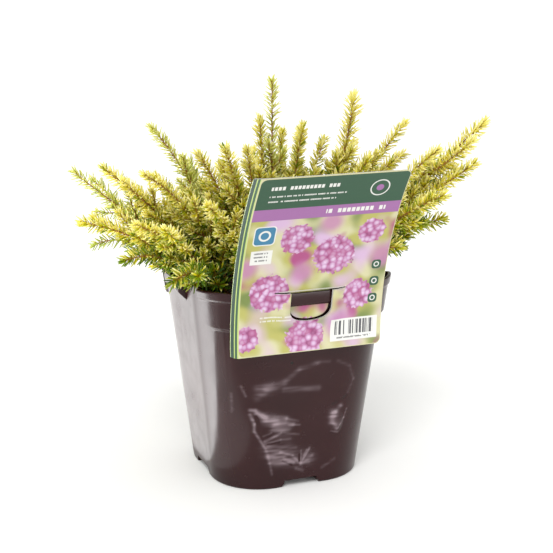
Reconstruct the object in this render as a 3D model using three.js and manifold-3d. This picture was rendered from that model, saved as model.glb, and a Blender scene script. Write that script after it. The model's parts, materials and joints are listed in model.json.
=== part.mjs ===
// A golden winter heath in a square nursery pot, with a folded card label on the pot's strap.
// Millimetres, +Z up. The origin is the middle of the pot's foot, on the ground.
// The side of the pot that carries the label looks along -Y.

import * as THREE from "three";
import { mergeVertices } from "three/addons/utils/BufferGeometryUtils.js";
import Module from "manifold-3d";

// Fits
const FIT_GAP = 0.3;
const MERGE_DISTANCE = 1e-4;
const THROUGH = 2;
const SLIVER = 0.02;
const TINY = 1e-6;
const ARC_STEPS = 3;

// Pot: a tapered square with round corners
const POT_HEIGHT = 140;
const FOOT_HALF_WIDTH = 51.8;
const RIM_HALF_WIDTH = 67.7;
const FOOT_CORNER_RADIUS = 33.8;
const RIM_CORNER_RADIUS = 40;
const POT_WALL = 1.6;
const FLOOR_THICKNESS = 1.8;
const FOOT_BEVEL = 1.2;
const CORNER_STEPS = 5;

// Pads that stand proud round the pot's corners, and the lip over them
const PAD_PROUD = 2.6;
const PAD_FOOT_Z = 113;
const PAD_STEP_Z = 115.5;
const PAD_GAP_HALF_WIDTH = 41;
const PAD_CORNER_RADIUS = 6;
const LIP_PROUD = 3.6;
const LIP_FOOT_Z = 133.2;
const LIP_STEP_Z = 134.8;
const LIP_EDGE_Z = 139.2;
const LIP_EDGE_PROUD = 3;

// Strap in the middle of each side, which a label's tongue hangs behind
const STRAP_HALF_WIDTH = 16;
const STRAP_END_WALL = 1.7;
const STRAP_SHIFT = -2.3;
const STRAP_PROUD = 5.4;
const STRAP_THICKNESS = 1.5;
const STRAP_TOP_Z = 139.2;
const STRAP_FRONT_FOOT_Z = 131.5;
const STRAP_POINT_Z = 124.5;
const STRAP_ROOT = 0.8;

// Drainage: two channels that cross under the floor, and round holes through it
const CHANNEL_HALF_WIDTH = 13.5;
const CHANNEL_HEIGHT = 5;
const CHANNEL_SLOPE = 2;
const DRAIN_SIDES = 6;
const DRAIN_RADIUS = 4;
const DRAIN_RING = 27;
const DRAIN_CORNER = 30;

// Growing mix
const SOIL_TOP_Z = 125;
const SOIL_EDGE_Z = 123;
const SOIL_EDGE_SLOPE = 7;

// Label: a card folded at its left, each leaf leaning out of the upright as a curve
const CARD_THICKNESS = 0.7;
const CARD_LEFT = -49.3;
const CARD_RIGHT = 49;
const CARD_FOOT_Z = 99;
const CARD_TOP_Z = 219;
const CARD_FRONT_Y = -68.2;
const CARD_LEAN = 42.3;
const CARD_LEAN_FROM_Z = 104.8;
const CARD_LEAN_POWER = 2.05;
const CARD_TWIST = 2;
const CARD_CORNER_RADIUS = 4;
const SPINE_LEFT = -53.2;
const SPINE_DEPTH = 4.3;
const LEAF_GAP = 1.1;
const LEAF_SPREAD = 5;
const TONGUE_X = STRAP_SHIFT;
const TONGUE_HALF_WIDTH = 13.7;
const TONGUE_FOOT_Z = 120.6;
const WINDOW_HALF_WIDTH = 14.3;
const WINDOW_FOOT_Z = 119.9;
const WINDOW_FOOT_RISE = 9;
const SLIT_Z = 140.3;
const SLIT_HEIGHT = 0.5;
const SLIT_HALF_WIDTH = 24.2;
const BULGE = 4;
const BULGE_FULL_HALF_WIDTH = 16.5;
const BULGE_HALF_WIDTH = 27;
const BULGE_FOOT_Z = 110;
const BULGE_FULL_Z = 130;
const CARD_LOW_SECTIONS = [CARD_FOOT_Z, BULGE_FOOT_Z, 120, BULGE_FULL_Z, SLIT_Z + SLIT_HEIGHT];
const CARD_HIGH_SECTIONS = [SLIT_Z + SLIT_HEIGHT / 2, 155, 170, 186, 202, CARD_TOP_Z];
const CARD_HIGH_COLUMNS = [CARD_LEFT, -38, 0, CARD_RIGHT];

// Leafy stems
const STEM_ROOT_DEPTH = 16;
const STEM_ROOT_NEAR = 6.5;
const STEM_ROOT_SPREAD = 0.27;
const STEM_LEAVE_LEAN = 0.45;
const STEM_LEAVE_REACH = 0.38;
const STEM_ARRIVE_REACH = 0.34;
const STEM_SIDES = 3;
const STEM_RADIUS = 1.6;
const STEM_TAPER = 0.2;
const CORE_RADIUS = 2.6;
const CORE_RISE = [0.32, 0.46];
const TIP_RADIUS = 0.6;
const TIP_TAPER_FROM = 0.8;
const HOLE_GAP = 0.65;
const HOLE_OVER_SOIL = 3;
const STEM_STATIONS = [0, 0.2, 0.4, 0.6, 0.82, 1];
const STEM_PIECES = 14;
const LEAFY_FROM = 0.36;
const SIDE_STATIONS = [0, 0.55, 1];
const SIDE_PIECES = 5;
const SIDE_PLACES = [0.52, 0.68, 0.8];
const SIDE_LENGTH = 0.27;
const SIDE_SPREAD = THREE.MathUtils.degToRad(40);
const SIDE_BEND = 0.55;
const SIDE_TIP_OUT = 0.25;
const SIDE_TIP_ALONG = 0.2;
const SIDE_RADIUS = 2;
const SIDE_TAPER_FROM = 0.6;
const SIDE_LEAFY_FROM = 0.12;
const SIDE_FREE_FROM = 0.3;

// Needles
const NEEDLE_LENGTH = 8.8;
const NEEDLE_LENGTH_RANGE = [0.9, 1.1];
const NEEDLE_FEWEST = 5;
const NEEDLE_ROOT_RADIUS = 0.75;
const NEEDLE_ROOT_MARGIN = 0.22;
const NEEDLE_ROOT_END = 1.4;
const NEEDLE_STEP = 5.4;
const NEEDLE_LEAN = THREE.MathUtils.degToRad(52);
const NEEDLE_TIP_LEAN = THREE.MathUtils.degToRad(24);
const NEEDLE_TIP_FROM = 0.72;
const NEEDLE_CLEARANCE = 0.25;
const NEEDLE_MIDDLE = 0.6;
const NEEDLE_SEED = 1000;
const NEEDLE_SEED_STEP = 17;
const GOLDEN_ANGLE = THREE.MathUtils.degToRad(137.508);
const NEEDLE_TRIES = [0, 24, -24, 48, -48, 72, -72, 100, -100].map(THREE.MathUtils.degToRad);
const NEEDLE_SHORTER = [1, 0.8, 0.62];

// How far needles keep from the pot, the growing mix and the label
const CLEAR_OF_RIM = 1.5;
const CLEAR_OF_SOIL = 1.2;
const CLEAR_INSIDE = 4.2;
const CLEAR_BESIDE = 7.5;
const CLEAR_OF_CARD = 1.5;

// Each leafy stem's tip: heading round the pot in degrees from +X towards +Y, reach from the
// pot's middle line, height over the ground, the tip's rise over the level in degrees, and the
// sides that its side shoots leave on, from the root outwards.
const STEM_TIPS = [
  [150, 83, 233, 48, "R"],
  [160, 133, 205, 42, "LR"],
  [173, 113, 211, 38, "RL"],
  [190, 94, 210, 30, "L"],
  [181, 131, 180, 14, "LR"],
  [203, 116, 184, 22, "RL"],
  [166, 120, 158, -24, "R"],
  [193, 112, 158, -14, "L"],
  [213, 104, 149, -24, ""],
  [199, 62, 222, 50, "R"],
  [216, 55, 226, 60, "L"],
  [224, 92, 196, 28, "L"],
  [234, 80, 168, 2, ""],
  [80, 3, 265, 88, ""],
  [152, 9, 240, 84, "R"],
  [204, 24, 222, 76, "L"],
  [28, 31, 233, 74, "R"],
  [8, 40, 224, 66, "L"],
  [0, 59, 252, 84, ""],
  [12, 112, 231, 44, "R"],
  [-8, 92, 214, 30, "R"],
  [-20, 141, 238, 45, "LR"],
  [-36, 110, 223, 40, "R"],
  [-28, 134, 213, 36, "RL"],
  [-49, 121, 198, 24, "R"],
  [-43, 104, 177, 12, "L"],
  [-57, 97, 165, 0, "R"],
  [-14, 118, 170, 10, "L"],
  [2, 122, 190, 26, "R"],
  [22, 112, 172, 10, "L"],
  [34, 104, 214, 46, "LR"],
  [46, 116, 186, 24, "R"],
  [57, 96, 222, 54, "L"],
  [66, 112, 168, 8, "R"],
  [77, 106, 206, 38, "LR"],
  [90, 105, 180, 18, "L"],
  [97, 84, 198, 42, "R"],
  [108, 108, 200, 34, "L"],
  [118, 114, 166, 6, "R"],
  [128, 98, 194, 38, "L"],
  [140, 118, 176, 20, "LR"],
  [62, 50, 226, 66, "R"],
  [120, 46, 206, 62, "L"],
  [178, 62, 192, 50, "R"],
  [246, 62, 196, 52, ""],
  [262, 52, 206, 62, ""],
  [281, 56, 202, 58, ""],
  [300, 62, 206, 54, ""],
  [318, 66, 216, 58, ""],
  [333, 62, 196, 48, "L"],
];

// Finishes
const POT_BROWN = 0x3b2529;
const SOIL_BROWN = 0x2c1f17;
const CARD_GREEN = 0x2f4c3c;
const GOLD_LEAF = 0xbfae46;
const GREEN_LEAF = 0x6f7a36;
const LOW_STEM_HEIGHT = 175;
const POT_ROUGHNESS = 0.35;
const SOIL_ROUGHNESS = 0.95;
const CARD_ROUGHNESS = 0.4;
const LEAF_ROUGHNESS = 0.6;

const wasm = await Module();
wasm.setup();

// Shared helpers

// The same stream of draws, from 0 to 1, on every run.
function seededDraws(seed) {
  let state = seed;
  return () => {
    state = (state * 48271) % 2147483647;
    return state / 2147483647;
  };
}

function mix(from, to, share) {
  return from + (to - from) * share;
}

// Rises from 0 at one value to 1 at another along a smooth S.
function smoothRise(value, from, to) {
  return THREE.MathUtils.smoothstep(value, from, to);
}

// A closed geometry as a solid that can be cut and joined. Triangles that merging has
// folded to a line, as at a pole, are dropped.
function toSolid(geometry) {
  const bare = geometry.clone();
  bare.deleteAttribute("normal");
  bare.deleteAttribute("uv");
  const merged = mergeVertices(bare, MERGE_DISTANCE);
  const faces = [];
  for (let i = 0; i < merged.index.count; i += 3) {
    const [a, b, c] = [merged.index.getX(i), merged.index.getX(i + 1), merged.index.getX(i + 2)];
    if (a !== b && b !== c && c !== a) {
      faces.push(a, b, c);
    }
  }
  const mesh = new wasm.Mesh({
    numProp: 3,
    vertProperties: merged.attributes.position.array,
    triVerts: Uint32Array.from(faces),
  });
  return new wasm.Manifold(mesh);
}

// Cutting leaves slivers, which are folded away.
function toGeometry(solid) {
  const mesh = solid.simplify(SLIVER).getMesh();
  const geometry = new THREE.BufferGeometry();
  geometry.setAttribute("position", new THREE.BufferAttribute(mesh.vertProperties, 3));
  geometry.setIndex(new THREE.BufferAttribute(mesh.triVerts, 1));
  geometry.computeVertexNormals();
  return geometry;
}

function joined(solids) {
  return wasm.Manifold.union(solids);
}

function fanFaces(count) {
  return Array.from({ length: count - 2 }, (_, i) => [0, i + 1, i + 2]);
}

// Rings of equal length, from one end to the other, joined into one closed skin. Seen from
// the last ring's side, each ring turns anticlockwise. endFaces splits a ring into triangles.
function loft(rings, endFaces = fanFaces(rings[0].length)) {
  const count = rings[0].length;
  const index = [];
  for (let k = 1; k < rings.length; k += 1) {
    for (let i = 0; i < count; i += 1) {
      const next = (i + 1) % count;
      const [a, b] = [(k - 1) * count + i, (k - 1) * count + next];
      index.push(a, b, b + count, a, b + count, a + count);
    }
  }
  const last = (rings.length - 1) * count;
  for (const [a, b, c] of endFaces) {
    index.push(c, b, a, last + a, last + b, last + c);
  }
  const geometry = new THREE.BufferGeometry().setFromPoints(rings.flat());
  geometry.setIndex(index);
  return toSolid(geometry);
}

// An outline in X and Z, pushed from Y = near to Y = far.
function alongY(outline, near, far) {
  const depth = far - near;
  const settings = { depth, bevelEnabled: false, curveSegments: ARC_STEPS };
  const geometry = new THREE.ExtrudeGeometry(outline, settings);
  geometry.rotateX(Math.PI / 2);
  geometry.translate(0, far, 0);
  return toSolid(geometry);
}

// An outline in Y (outwards) and Z, pushed from X = left to X = right.
function alongX(points, left, right) {
  const outline = new THREE.Shape(points.map(([y, z]) => new THREE.Vector2(y, z)));
  const geometry = new THREE.ExtrudeGeometry(outline, { depth: right - left, bevelEnabled: false });
  geometry.rotateX(Math.PI / 2);
  geometry.rotateZ(Math.PI / 2);
  geometry.translate(left, 0, 0);
  return toSolid(geometry);
}

function box(left, right, near, far, low, high) {
  const geometry = new THREE.BoxGeometry(right - left, far - near, high - low);
  geometry.translate((left + right) / 2, (near + far) / 2, (low + high) / 2);
  return toSolid(geometry);
}

function quarterTurns(solid) {
  return [0, 90, 180, 270].map((turn) => solid.rotate([0, 0, turn]));
}

// Pot

// The pot's half width at a height, without its pads.
function halfWidthAt(z) {
  return mix(FOOT_HALF_WIDTH, RIM_HALF_WIDTH, z / POT_HEIGHT);
}

// A square ring with round corners at a height, moved inwards by an inset.
function squareRing(z, inset) {
  const half = halfWidthAt(z) - inset;
  const radius = mix(FOOT_CORNER_RADIUS, RIM_CORNER_RADIUS, z / POT_HEIGHT) - inset;
  const ring = [];
  for (let corner = 0; corner < 4; corner += 1) {
    const middle = new THREE.Vector2(half - radius, half - radius);
    middle.rotateAround(new THREE.Vector2(), (corner * Math.PI) / 2);
    for (let step = 0; step <= CORNER_STEPS; step += 1) {
      const angle = ((corner + step / CORNER_STEPS) * Math.PI) / 2;
      const [x, y] = [Math.cos(angle), Math.sin(angle)];
      ring.push(new THREE.Vector3(middle.x + radius * x, middle.y + radius * y, z));
    }
  }
  return ring;
}

function squareLoft(steps) {
  return loft(steps.map(([z, inset]) => squareRing(z, inset)));
}

// What leaves the middle of each side free of pads: wide at its foot, where it rounds the
// pads' lower corners.
function padGaps(inset) {
  const half = PAD_GAP_HALF_WIDTH + inset;
  const low = PAD_FOOT_Z - THROUGH;
  const cornerZ = PAD_STEP_Z + PAD_CORNER_RADIUS;
  const outline = new THREE.Shape();
  outline.moveTo(-half - PAD_CORNER_RADIUS, low);
  outline.lineTo(half + PAD_CORNER_RADIUS, low);
  outline.lineTo(half + PAD_CORNER_RADIUS, PAD_STEP_Z);
  outline.absarc(half + PAD_CORNER_RADIUS, cornerZ, PAD_CORNER_RADIUS, -Math.PI / 2, -Math.PI, true);
  outline.lineTo(half, POT_HEIGHT + THROUGH);
  outline.lineTo(-half, POT_HEIGHT + THROUGH);
  outline.lineTo(-half, cornerZ);
  outline.absarc(-half - PAD_CORNER_RADIUS, cornerZ, PAD_CORNER_RADIUS, 0, -Math.PI / 2, true);
  const reach = RIM_HALF_WIDTH + LIP_PROUD + THROUGH;
  const gap = alongY(outline, -reach, reach);
  return gap.add(gap.rotate([0, 0, 90]));
}

// The pads round the four corners, moved inwards by an inset.
function cornerPads(inset, top) {
  const pads = squareLoft([
    [PAD_FOOT_Z + inset, inset],
    [PAD_STEP_Z + inset, inset - PAD_PROUD],
    [top, inset - PAD_PROUD],
  ]);
  return pads.subtract(padGaps(inset));
}

function cornerLip() {
  const lip = squareLoft([
    [LIP_FOOT_Z, -PAD_PROUD],
    [LIP_STEP_Z, -LIP_PROUD],
    [LIP_EDGE_Z, -LIP_PROUD],
    [POT_HEIGHT, -LIP_EDGE_PROUD],
  ]);
  return lip.subtract(padGaps(0));
}

// Two crossing channels under the floor, each side wider by a thickness.
function channels(thickness) {
  const low = CHANNEL_HALF_WIDTH + thickness;
  const high = low - CHANNEL_SLOPE;
  const top = CHANNEL_HEIGHT + thickness;
  const outline = new THREE.Shape([
    new THREE.Vector2(-low, -THROUGH),
    new THREE.Vector2(low, -THROUGH),
    new THREE.Vector2(low, 0),
    new THREE.Vector2(high, top),
    new THREE.Vector2(-high, top),
    new THREE.Vector2(-low, 0),
  ]);
  const reach = RIM_HALF_WIDTH;
  const channel = alongY(outline, -reach, reach);
  return channel.add(channel.rotate([0, 0, 90]));
}

function drainHoles() {
  const places = [[0, 0]];
  for (const side of [-1, 1]) {
    places.push([side * DRAIN_RING, 0], [0, side * DRAIN_RING]);
    places.push([side * DRAIN_CORNER, DRAIN_CORNER], [side * DRAIN_CORNER, -DRAIN_CORNER]);
  }
  const holes = places.map(([x, y]) => {
    const height = CHANNEL_HEIGHT + POT_WALL + 2 * THROUGH;
    const geometry = new THREE.CylinderGeometry(DRAIN_RADIUS, DRAIN_RADIUS, height, DRAIN_SIDES);
    geometry.rotateX(Math.PI / 2);
    geometry.translate(x, y, height / 2 - THROUGH);
    return toSolid(geometry);
  });
  return joined(holes);
}

// The strap on the side that looks along -Y: a band with two pointed cheeks, and a slot
// between it and the wall.
function strap() {
  const top = STRAP_TOP_Z;
  const root = (z) => -(halfWidthAt(z) - STRAP_ROOT);
  const face = (z, proud) => -(halfWidthAt(z) + proud);
  const body = alongX([
    [root(top), top],
    [face(top, STRAP_PROUD), top],
    [face(STRAP_FRONT_FOOT_Z, STRAP_PROUD), STRAP_FRONT_FOOT_Z],
    [root(STRAP_POINT_Z), STRAP_POINT_Z],
  ], STRAP_SHIFT - STRAP_HALF_WIDTH, STRAP_SHIFT + STRAP_HALF_WIDTH);
  const inner = STRAP_PROUD - STRAP_THICKNESS;
  const low = STRAP_POINT_Z - THROUGH;
  const half = STRAP_HALF_WIDTH - STRAP_END_WALL;
  const slot = alongX([
    [root(top + THROUGH), top + THROUGH],
    [face(top + THROUGH, inner), top + THROUGH],
    [face(low, inner), low],
    [root(low), low],
  ], STRAP_SHIFT - half, STRAP_SHIFT + half);
  return body.subtract(slot);
}

// The space inside the pot.
function potInside() {
  const top = POT_HEIGHT + THROUGH;
  const space = squareLoft([[FLOOR_THICKNESS, POT_WALL], [top, POT_WALL]]);
  return space.add(cornerPads(POT_WALL, top)).subtract(channels(POT_WALL));
}

function pot() {
  const body = squareLoft([[0, FOOT_BEVEL], [FOOT_BEVEL, 0], [POT_HEIGHT, 0]]);
  const outside = joined([body, cornerPads(0, POT_HEIGHT), cornerLip(), ...quarterTurns(strap())]);
  return outside.subtract(joined([potInside(), channels(0), drainHoles()]));
}

// Label

// The front leaf's outer face at a place on the card, before the bulge.
function cardFrontY(x, z) {
  const climb = Math.max(0, (z - CARD_LEAN_FROM_Z) / (CARD_TOP_Z - CARD_LEAN_FROM_Z));
  const twist = CARD_TWIST * (x / CARD_RIGHT) * climb ** 2;
  return CARD_FRONT_Y - CARD_LEAN * climb ** CARD_LEAN_POWER + twist;
}

// How far the card under the slit stands out round the strap.
function cardBulge(x, z) {
  const across = 1 - smoothRise(Math.abs(x - TONGUE_X), BULGE_FULL_HALF_WIDTH, BULGE_HALF_WIDTH);
  return BULGE * across * smoothRise(z, BULGE_FOOT_Z, BULGE_FULL_Z);
}

// How far behind the front leaf the back leaf lies: closed at the right, open at the spine.
function leafDepth(x) {
  return LEAF_GAP + (SPINE_DEPTH - LEAF_GAP) * Math.exp((SPINE_LEFT - x) / LEAF_SPREAD);
}

// A line with a thickness: its outline, anticlockwise, with mitred corners.
function thickLine(points, thickness) {
  const sides = [[], []];
  points.forEach((point, i) => {
    const before = point.clone().sub(points[Math.max(0, i - 1)]);
    const after = points[Math.min(points.length - 1, i + 1)].clone().sub(point);
    const [a, b] = [before, after].map((v) => (v.length() > 0 ? v.normalize() : null));
    const [from, to] = [a ?? b, b ?? a];
    const normal = new THREE.Vector2(from.y + to.y, -from.x - to.x).normalize();
    const half = thickness / 2 / normal.dot(new THREE.Vector2(from.y, -from.x));
    sides[0].push(point.clone().addScaledVector(normal, half));
    sides[1].unshift(point.clone().addScaledVector(normal, -half));
  });
  return [...sides[0], ...sides[1]];
}

// The folded card between two heights, as sections at the given heights.
function cardLoft(heights, columns, bulge) {
  const sections = heights.map((z) => {
    const y = (x, depth) => cardFrontY(x, z) - bulge(x, z) + CARD_THICKNESS / 2 + depth;
    const front = columns.map((x) => new THREE.Vector2(x, y(x, 0)));
    const back = [...columns].reverse().map((x) => new THREE.Vector2(x, y(x, leafDepth(x))));
    const spine = new THREE.Vector2(SPINE_LEFT, y(SPINE_LEFT, SPINE_DEPTH));
    return thickLine([...back, spine, ...front], CARD_THICKNESS);
  });
  const faces = THREE.ShapeUtils.triangulateShape(sections[0], []);
  return loft(sections.map((s, k) => s.map((p) => new THREE.Vector3(p.x, p.y, heights[k]))), faces);
}

// A tongue: it leaves its leaf at the slit and hangs behind the strap.
function tongue(depth) {
  const inSlot = (z) => FIT_GAP - halfWidthAt(z) - STRAP_PROUD + STRAP_THICKNESS;
  const bendZ = STRAP_TOP_Z - CARD_THICKNESS;
  const sections = [
    [TONGUE_FOOT_Z, inSlot(TONGUE_FOOT_Z)],
    [bendZ, inSlot(bendZ)],
    [SLIT_Z + 2 * SLIT_HEIGHT, cardFrontY(TONGUE_X, SLIT_Z)],
  ];
  const rings = sections.map(([z, front]) => {
    const [left, right] = [TONGUE_X - TONGUE_HALF_WIDTH, TONGUE_X + TONGUE_HALF_WIDTH];
    const [near, far] = [front + depth, front + depth + CARD_THICKNESS];
    const corners = [[left, near], [right, near], [right, far], [left, far]];
    return corners.map(([x, y]) => new THREE.Vector3(x, y, z));
  });
  return loft(rings);
}

// An upright outline with a round foot, pushed through the card.
function roundFooted(half, foot, rise, top) {
  const outline = new THREE.Shape();
  outline.moveTo(TONGUE_X - half, top);
  outline.lineTo(TONGUE_X - half, foot + rise);
  outline.quadraticCurveTo(TONGUE_X - half, foot, TONGUE_X, foot);
  outline.quadraticCurveTo(TONGUE_X + half, foot, TONGUE_X + half, foot + rise);
  outline.lineTo(TONGUE_X + half, top);
  return alongY(outline, -2 * RIM_HALF_WIDTH, 0);
}

// The card's outline seen from the front, with its round corners.
function cardOutline() {
  const [left, right, foot, top, r] = [
    SPINE_LEFT - THROUGH, CARD_RIGHT, CARD_FOOT_Z, CARD_TOP_Z, CARD_CORNER_RADIUS,
  ];
  const outline = new THREE.Shape();
  outline.moveTo(left + r, foot);
  outline.lineTo(right - r, foot);
  outline.absarc(right - r, foot + r, r, -Math.PI / 2, 0, false);
  outline.absarc(right - r, top - r, r, 0, Math.PI / 2, false);
  outline.absarc(left + r, top - r, r, Math.PI / 2, Math.PI, false);
  outline.absarc(left + r, foot + r, r, Math.PI, 1.5 * Math.PI, false);
  return alongY(outline, -2 * RIM_HALF_WIDTH, 0);
}

function label() {
  const [full, end] = [BULGE_FULL_HALF_WIDTH, BULGE_HALF_WIDTH];
  const middle = (full + end) / 2;
  const offsets = [-end, -middle, -full, 0, full, middle, end];
  const lowColumns = [CARD_LEFT, ...offsets.map((x) => TONGUE_X + x), CARD_RIGHT];
  const low = cardLoft(CARD_LOW_SECTIONS, lowColumns, cardBulge);
  const slit = box(
    TONGUE_X - SLIT_HALF_WIDTH, TONGUE_X + SLIT_HALF_WIDTH,
    -2 * RIM_HALF_WIDTH, 0, SLIT_Z - SLIT_HEIGHT, SLIT_Z + 2 * SLIT_HEIGHT,
  );
  const window = roundFooted(WINDOW_HALF_WIDTH, WINDOW_FOOT_Z, WINDOW_FOOT_RISE, SLIT_Z + THROUGH);
  const high = cardLoft(CARD_HIGH_SECTIONS, CARD_HIGH_COLUMNS, () => 0);
  const tongues = joined([tongue(0), tongue(LEAF_GAP)]).intersect(
    roundFooted(TONGUE_HALF_WIDTH + THROUGH, TONGUE_FOOT_Z, WINDOW_FOOT_RISE, SLIT_Z + THROUGH),
  );
  const card = joined([low.subtract(slit).subtract(window), high, tongues]);
  return card.intersect(cardOutline());
}

// Leafy stems

function outward(heading) {
  return new THREE.Vector3(Math.cos(heading), Math.sin(heading), 0);
}

// A stem's line, in the upright plane of its heading: it leaves its root steeply, bends
// outwards, and ends at its tip with the tip's rise.
function stemLine([headingDegrees, reach, height, riseDegrees]) {
  const heading = THREE.MathUtils.degToRad(headingDegrees);
  const rise = THREE.MathUtils.degToRad(riseDegrees);
  const out = outward(heading);
  const rootReach = STEM_ROOT_NEAR + STEM_ROOT_SPREAD * reach;
  const root = out.clone().multiplyScalar(rootReach).setZ(SOIL_TOP_Z - STEM_ROOT_DEPTH);
  const tip = out.clone().multiplyScalar(reach).setZ(height);
  const span = root.distanceTo(tip);
  const chordLean = Math.atan2(reach - rootReach, height - root.z);
  const startLean = STEM_LEAVE_LEAN * chordLean;
  const leave = out.clone().multiplyScalar(Math.sin(startLean)).setZ(Math.cos(startLean));
  const arrive = out.clone().multiplyScalar(Math.cos(rise)).setZ(Math.sin(rise));
  return new THREE.CubicBezierCurve3(
    root,
    root.clone().addScaledVector(leave, STEM_LEAVE_REACH * span),
    tip.clone().addScaledVector(arrive, -STEM_ARRIVE_REACH * span),
    tip,
  );
}

// A side shoot's line: it leaves the stem at a place on it, turned to one side, and bends
// back a little towards the stem's own way.
function sideLine(stem, place, side, span) {
  const from = stem.getPoint(place);
  const along = stem.getTangent(place);
  const across = new THREE.Vector3(along.y, -along.x, 0).normalize().multiplyScalar(side);
  const leave = along.clone().multiplyScalar(Math.cos(SIDE_SPREAD));
  leave.addScaledVector(across, Math.sin(SIDE_SPREAD));
  const bend = from.clone().addScaledVector(leave, SIDE_BEND * span);
  const tip = bend.clone().addScaledVector(leave, SIDE_TIP_OUT * span);
  tip.addScaledVector(along, SIDE_TIP_ALONG * span);
  return new THREE.QuadraticBezierCurve3(from, bend, tip);
}

function stemRadius(place) {
  const wood = mix(STEM_RADIUS, STEM_RADIUS - STEM_TAPER, place / LEAFY_FROM);
  const core = mix(wood, CORE_RADIUS, smoothRise(place, ...CORE_RISE));
  return mix(core, TIP_RADIUS, smoothRise(place, TIP_TAPER_FROM, 1));
}

function sideRadius(place) {
  return mix(SIDE_RADIUS, TIP_RADIUS, smoothRise(place, SIDE_TAPER_FROM, 1));
}

// The two directions square to a line at a place: level, and over the line.
function squareTo(line, place) {
  const along = line.getTangent(place);
  const across = new THREE.Vector3(-along.y, along.x, 0);
  if (across.lengthSq() < TINY) {
    across.set(0, 1, 0);
  }
  across.normalize();
  return { along, across, over: new THREE.Vector3().crossVectors(along, across) };
}

// A three-sided rod along a line, with a radius at each station.
function rodRings(line, stations, radiusAt) {
  return stations.map((place) => {
    const { across, over } = squareTo(line, place);
    return Array.from({ length: STEM_SIDES }, (_, i) => {
      const angle = (i * 2 * Math.PI) / STEM_SIDES;
      const point = line.getPoint(place);
      point.addScaledVector(across, radiusAt(place) * Math.cos(angle));
      return point.addScaledVector(over, radiusAt(place) * Math.sin(angle));
    });
  });
}

// The panel of a rod that a needle grows from, and where on the panel its root is: along
// from 0 to 1, and across from 0 to 1, kept clear of the panel's edges.
function rootOnPanel(stations, place, turn) {
  const step = Math.min(stations.length - 2, stations.findLastIndex((station) => station <= place));
  const length = stations[step + 1] - stations[step];
  const turns = (((turn / (2 * Math.PI)) % 1) + 1) % 1;
  const side = Math.floor(turns * STEM_SIDES);
  const across = mix(NEEDLE_ROOT_MARGIN, 1 - NEEDLE_ROOT_MARGIN, turns * STEM_SIDES - side);
  return { step, side, along: (place - stations[step]) / length, across };
}

// A rod that needles grow out of. Each panel between two rings is a skin with a three-cornered
// hole for every needle that has its root there, and the needle's three sides close the hole.
function needledRod({ line, stations, radiusAt }, needles) {
  const rings = rodRings(line, stations, radiusAt);
  const points = rings.flat();
  const index = [];
  for (let step = 0; step < stations.length - 1; step += 1) {
    for (let side = 0; side < STEM_SIDES; side += 1) {
      const next = (side + 1) % STEM_SIDES;
      const corners = [[step, side], [step, next], [step + 1, next], [step + 1, side]];
      const cornerIndex = corners.map(([k, i]) => k * STEM_SIDES + i);
      const [a, b, c, d] = cornerIndex.map((i) => points[i]);
      const length = a.distanceTo(d);
      const width = (a.distanceTo(b) + c.distanceTo(d)) / 2;
      const onPanel = (u, v) => a.clone().lerp(b, v).lerp(d.clone().lerp(c, v), u);
      const outline = [[0, 0], [width, 0], [width, length], [0, length]];
      const holes = [];
      const panelIndex = [...cornerIndex];
      const here = needles.filter(({ root }) => root.step === step && root.side === side);
      for (const { root, end: tip } of here) {
        const radius = Math.min(NEEDLE_ROOT_RADIUS, NEEDLE_ROOT_MARGIN * width);
        const end = (NEEDLE_ROOT_END * radius) / length;
        const u = THREE.MathUtils.clamp(root.along, end, 1 - end);
        const middle = new THREE.Vector2(root.across * width, u * length);
        const hole = [-30, 90, 210].map((turn) => {
          const corner = new THREE.Vector2(radius, 0);
          corner.rotateAround(new THREE.Vector2(), THREE.MathUtils.degToRad(turn));
          return corner.add(middle);
        });
        const first = points.length;
        const [second, third, top] = [first + 1, first + 2, first + 3];
        points.push(...hole.map((p) => onPanel(p.y / length, p.x / width)), tip);
        index.push(first, second, top, second, third, top, third, first, top);
        holes.push(hole);
        panelIndex.push(first, second, third);
      }
      const skin = outline.map(([x, y]) => new THREE.Vector2(x, y));
      for (const face of THREE.ShapeUtils.triangulateShape(skin, holes)) {
        index.push(...face.map((i) => panelIndex[i]));
      }
    }
  }
  const last = (stations.length - 1) * STEM_SIDES;
  index.push(2, 1, 0, last, last + 1, last + 2);
  const geometry = new THREE.BufferGeometry().setFromPoints(points);
  geometry.setIndex(index);
  return toSolid(geometry);
}

// The shortest way between two straight pieces, each from start to end.
function gapBetween(a, b) {
  const ab = new THREE.Vector3().subVectors(a.end, a.start);
  const cd = new THREE.Vector3().subVectors(b.end, b.start);
  const apart = new THREE.Vector3().subVectors(a.start, b.start);
  const [aa, cc, ac] = [ab.dot(ab), cd.dot(cd), ab.dot(cd)];
  const [ap, cp] = [ab.dot(apart), cd.dot(apart)];
  const cross = aa * cc - ac * ac;
  const clamp = (value) => THREE.MathUtils.clamp(value, 0, 1);
  let s = cross > TINY ? clamp((ac * cp - cc * ap) / cross) : 0;
  const t = clamp((ac * s + cp) / cc);
  s = clamp((ac * t - ap) / aa);
  return apart.addScaledVector(ab, s).addScaledVector(cd, -t).length();
}

function insideSquare(x, y, half, radius) {
  const [dx, dy] = [Math.abs(x) - half + radius, Math.abs(y) - half + radius];
  return Math.hypot(Math.max(dx, 0), Math.max(dy, 0)) + Math.min(Math.max(dx, dy), 0) < radius;
}

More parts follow.
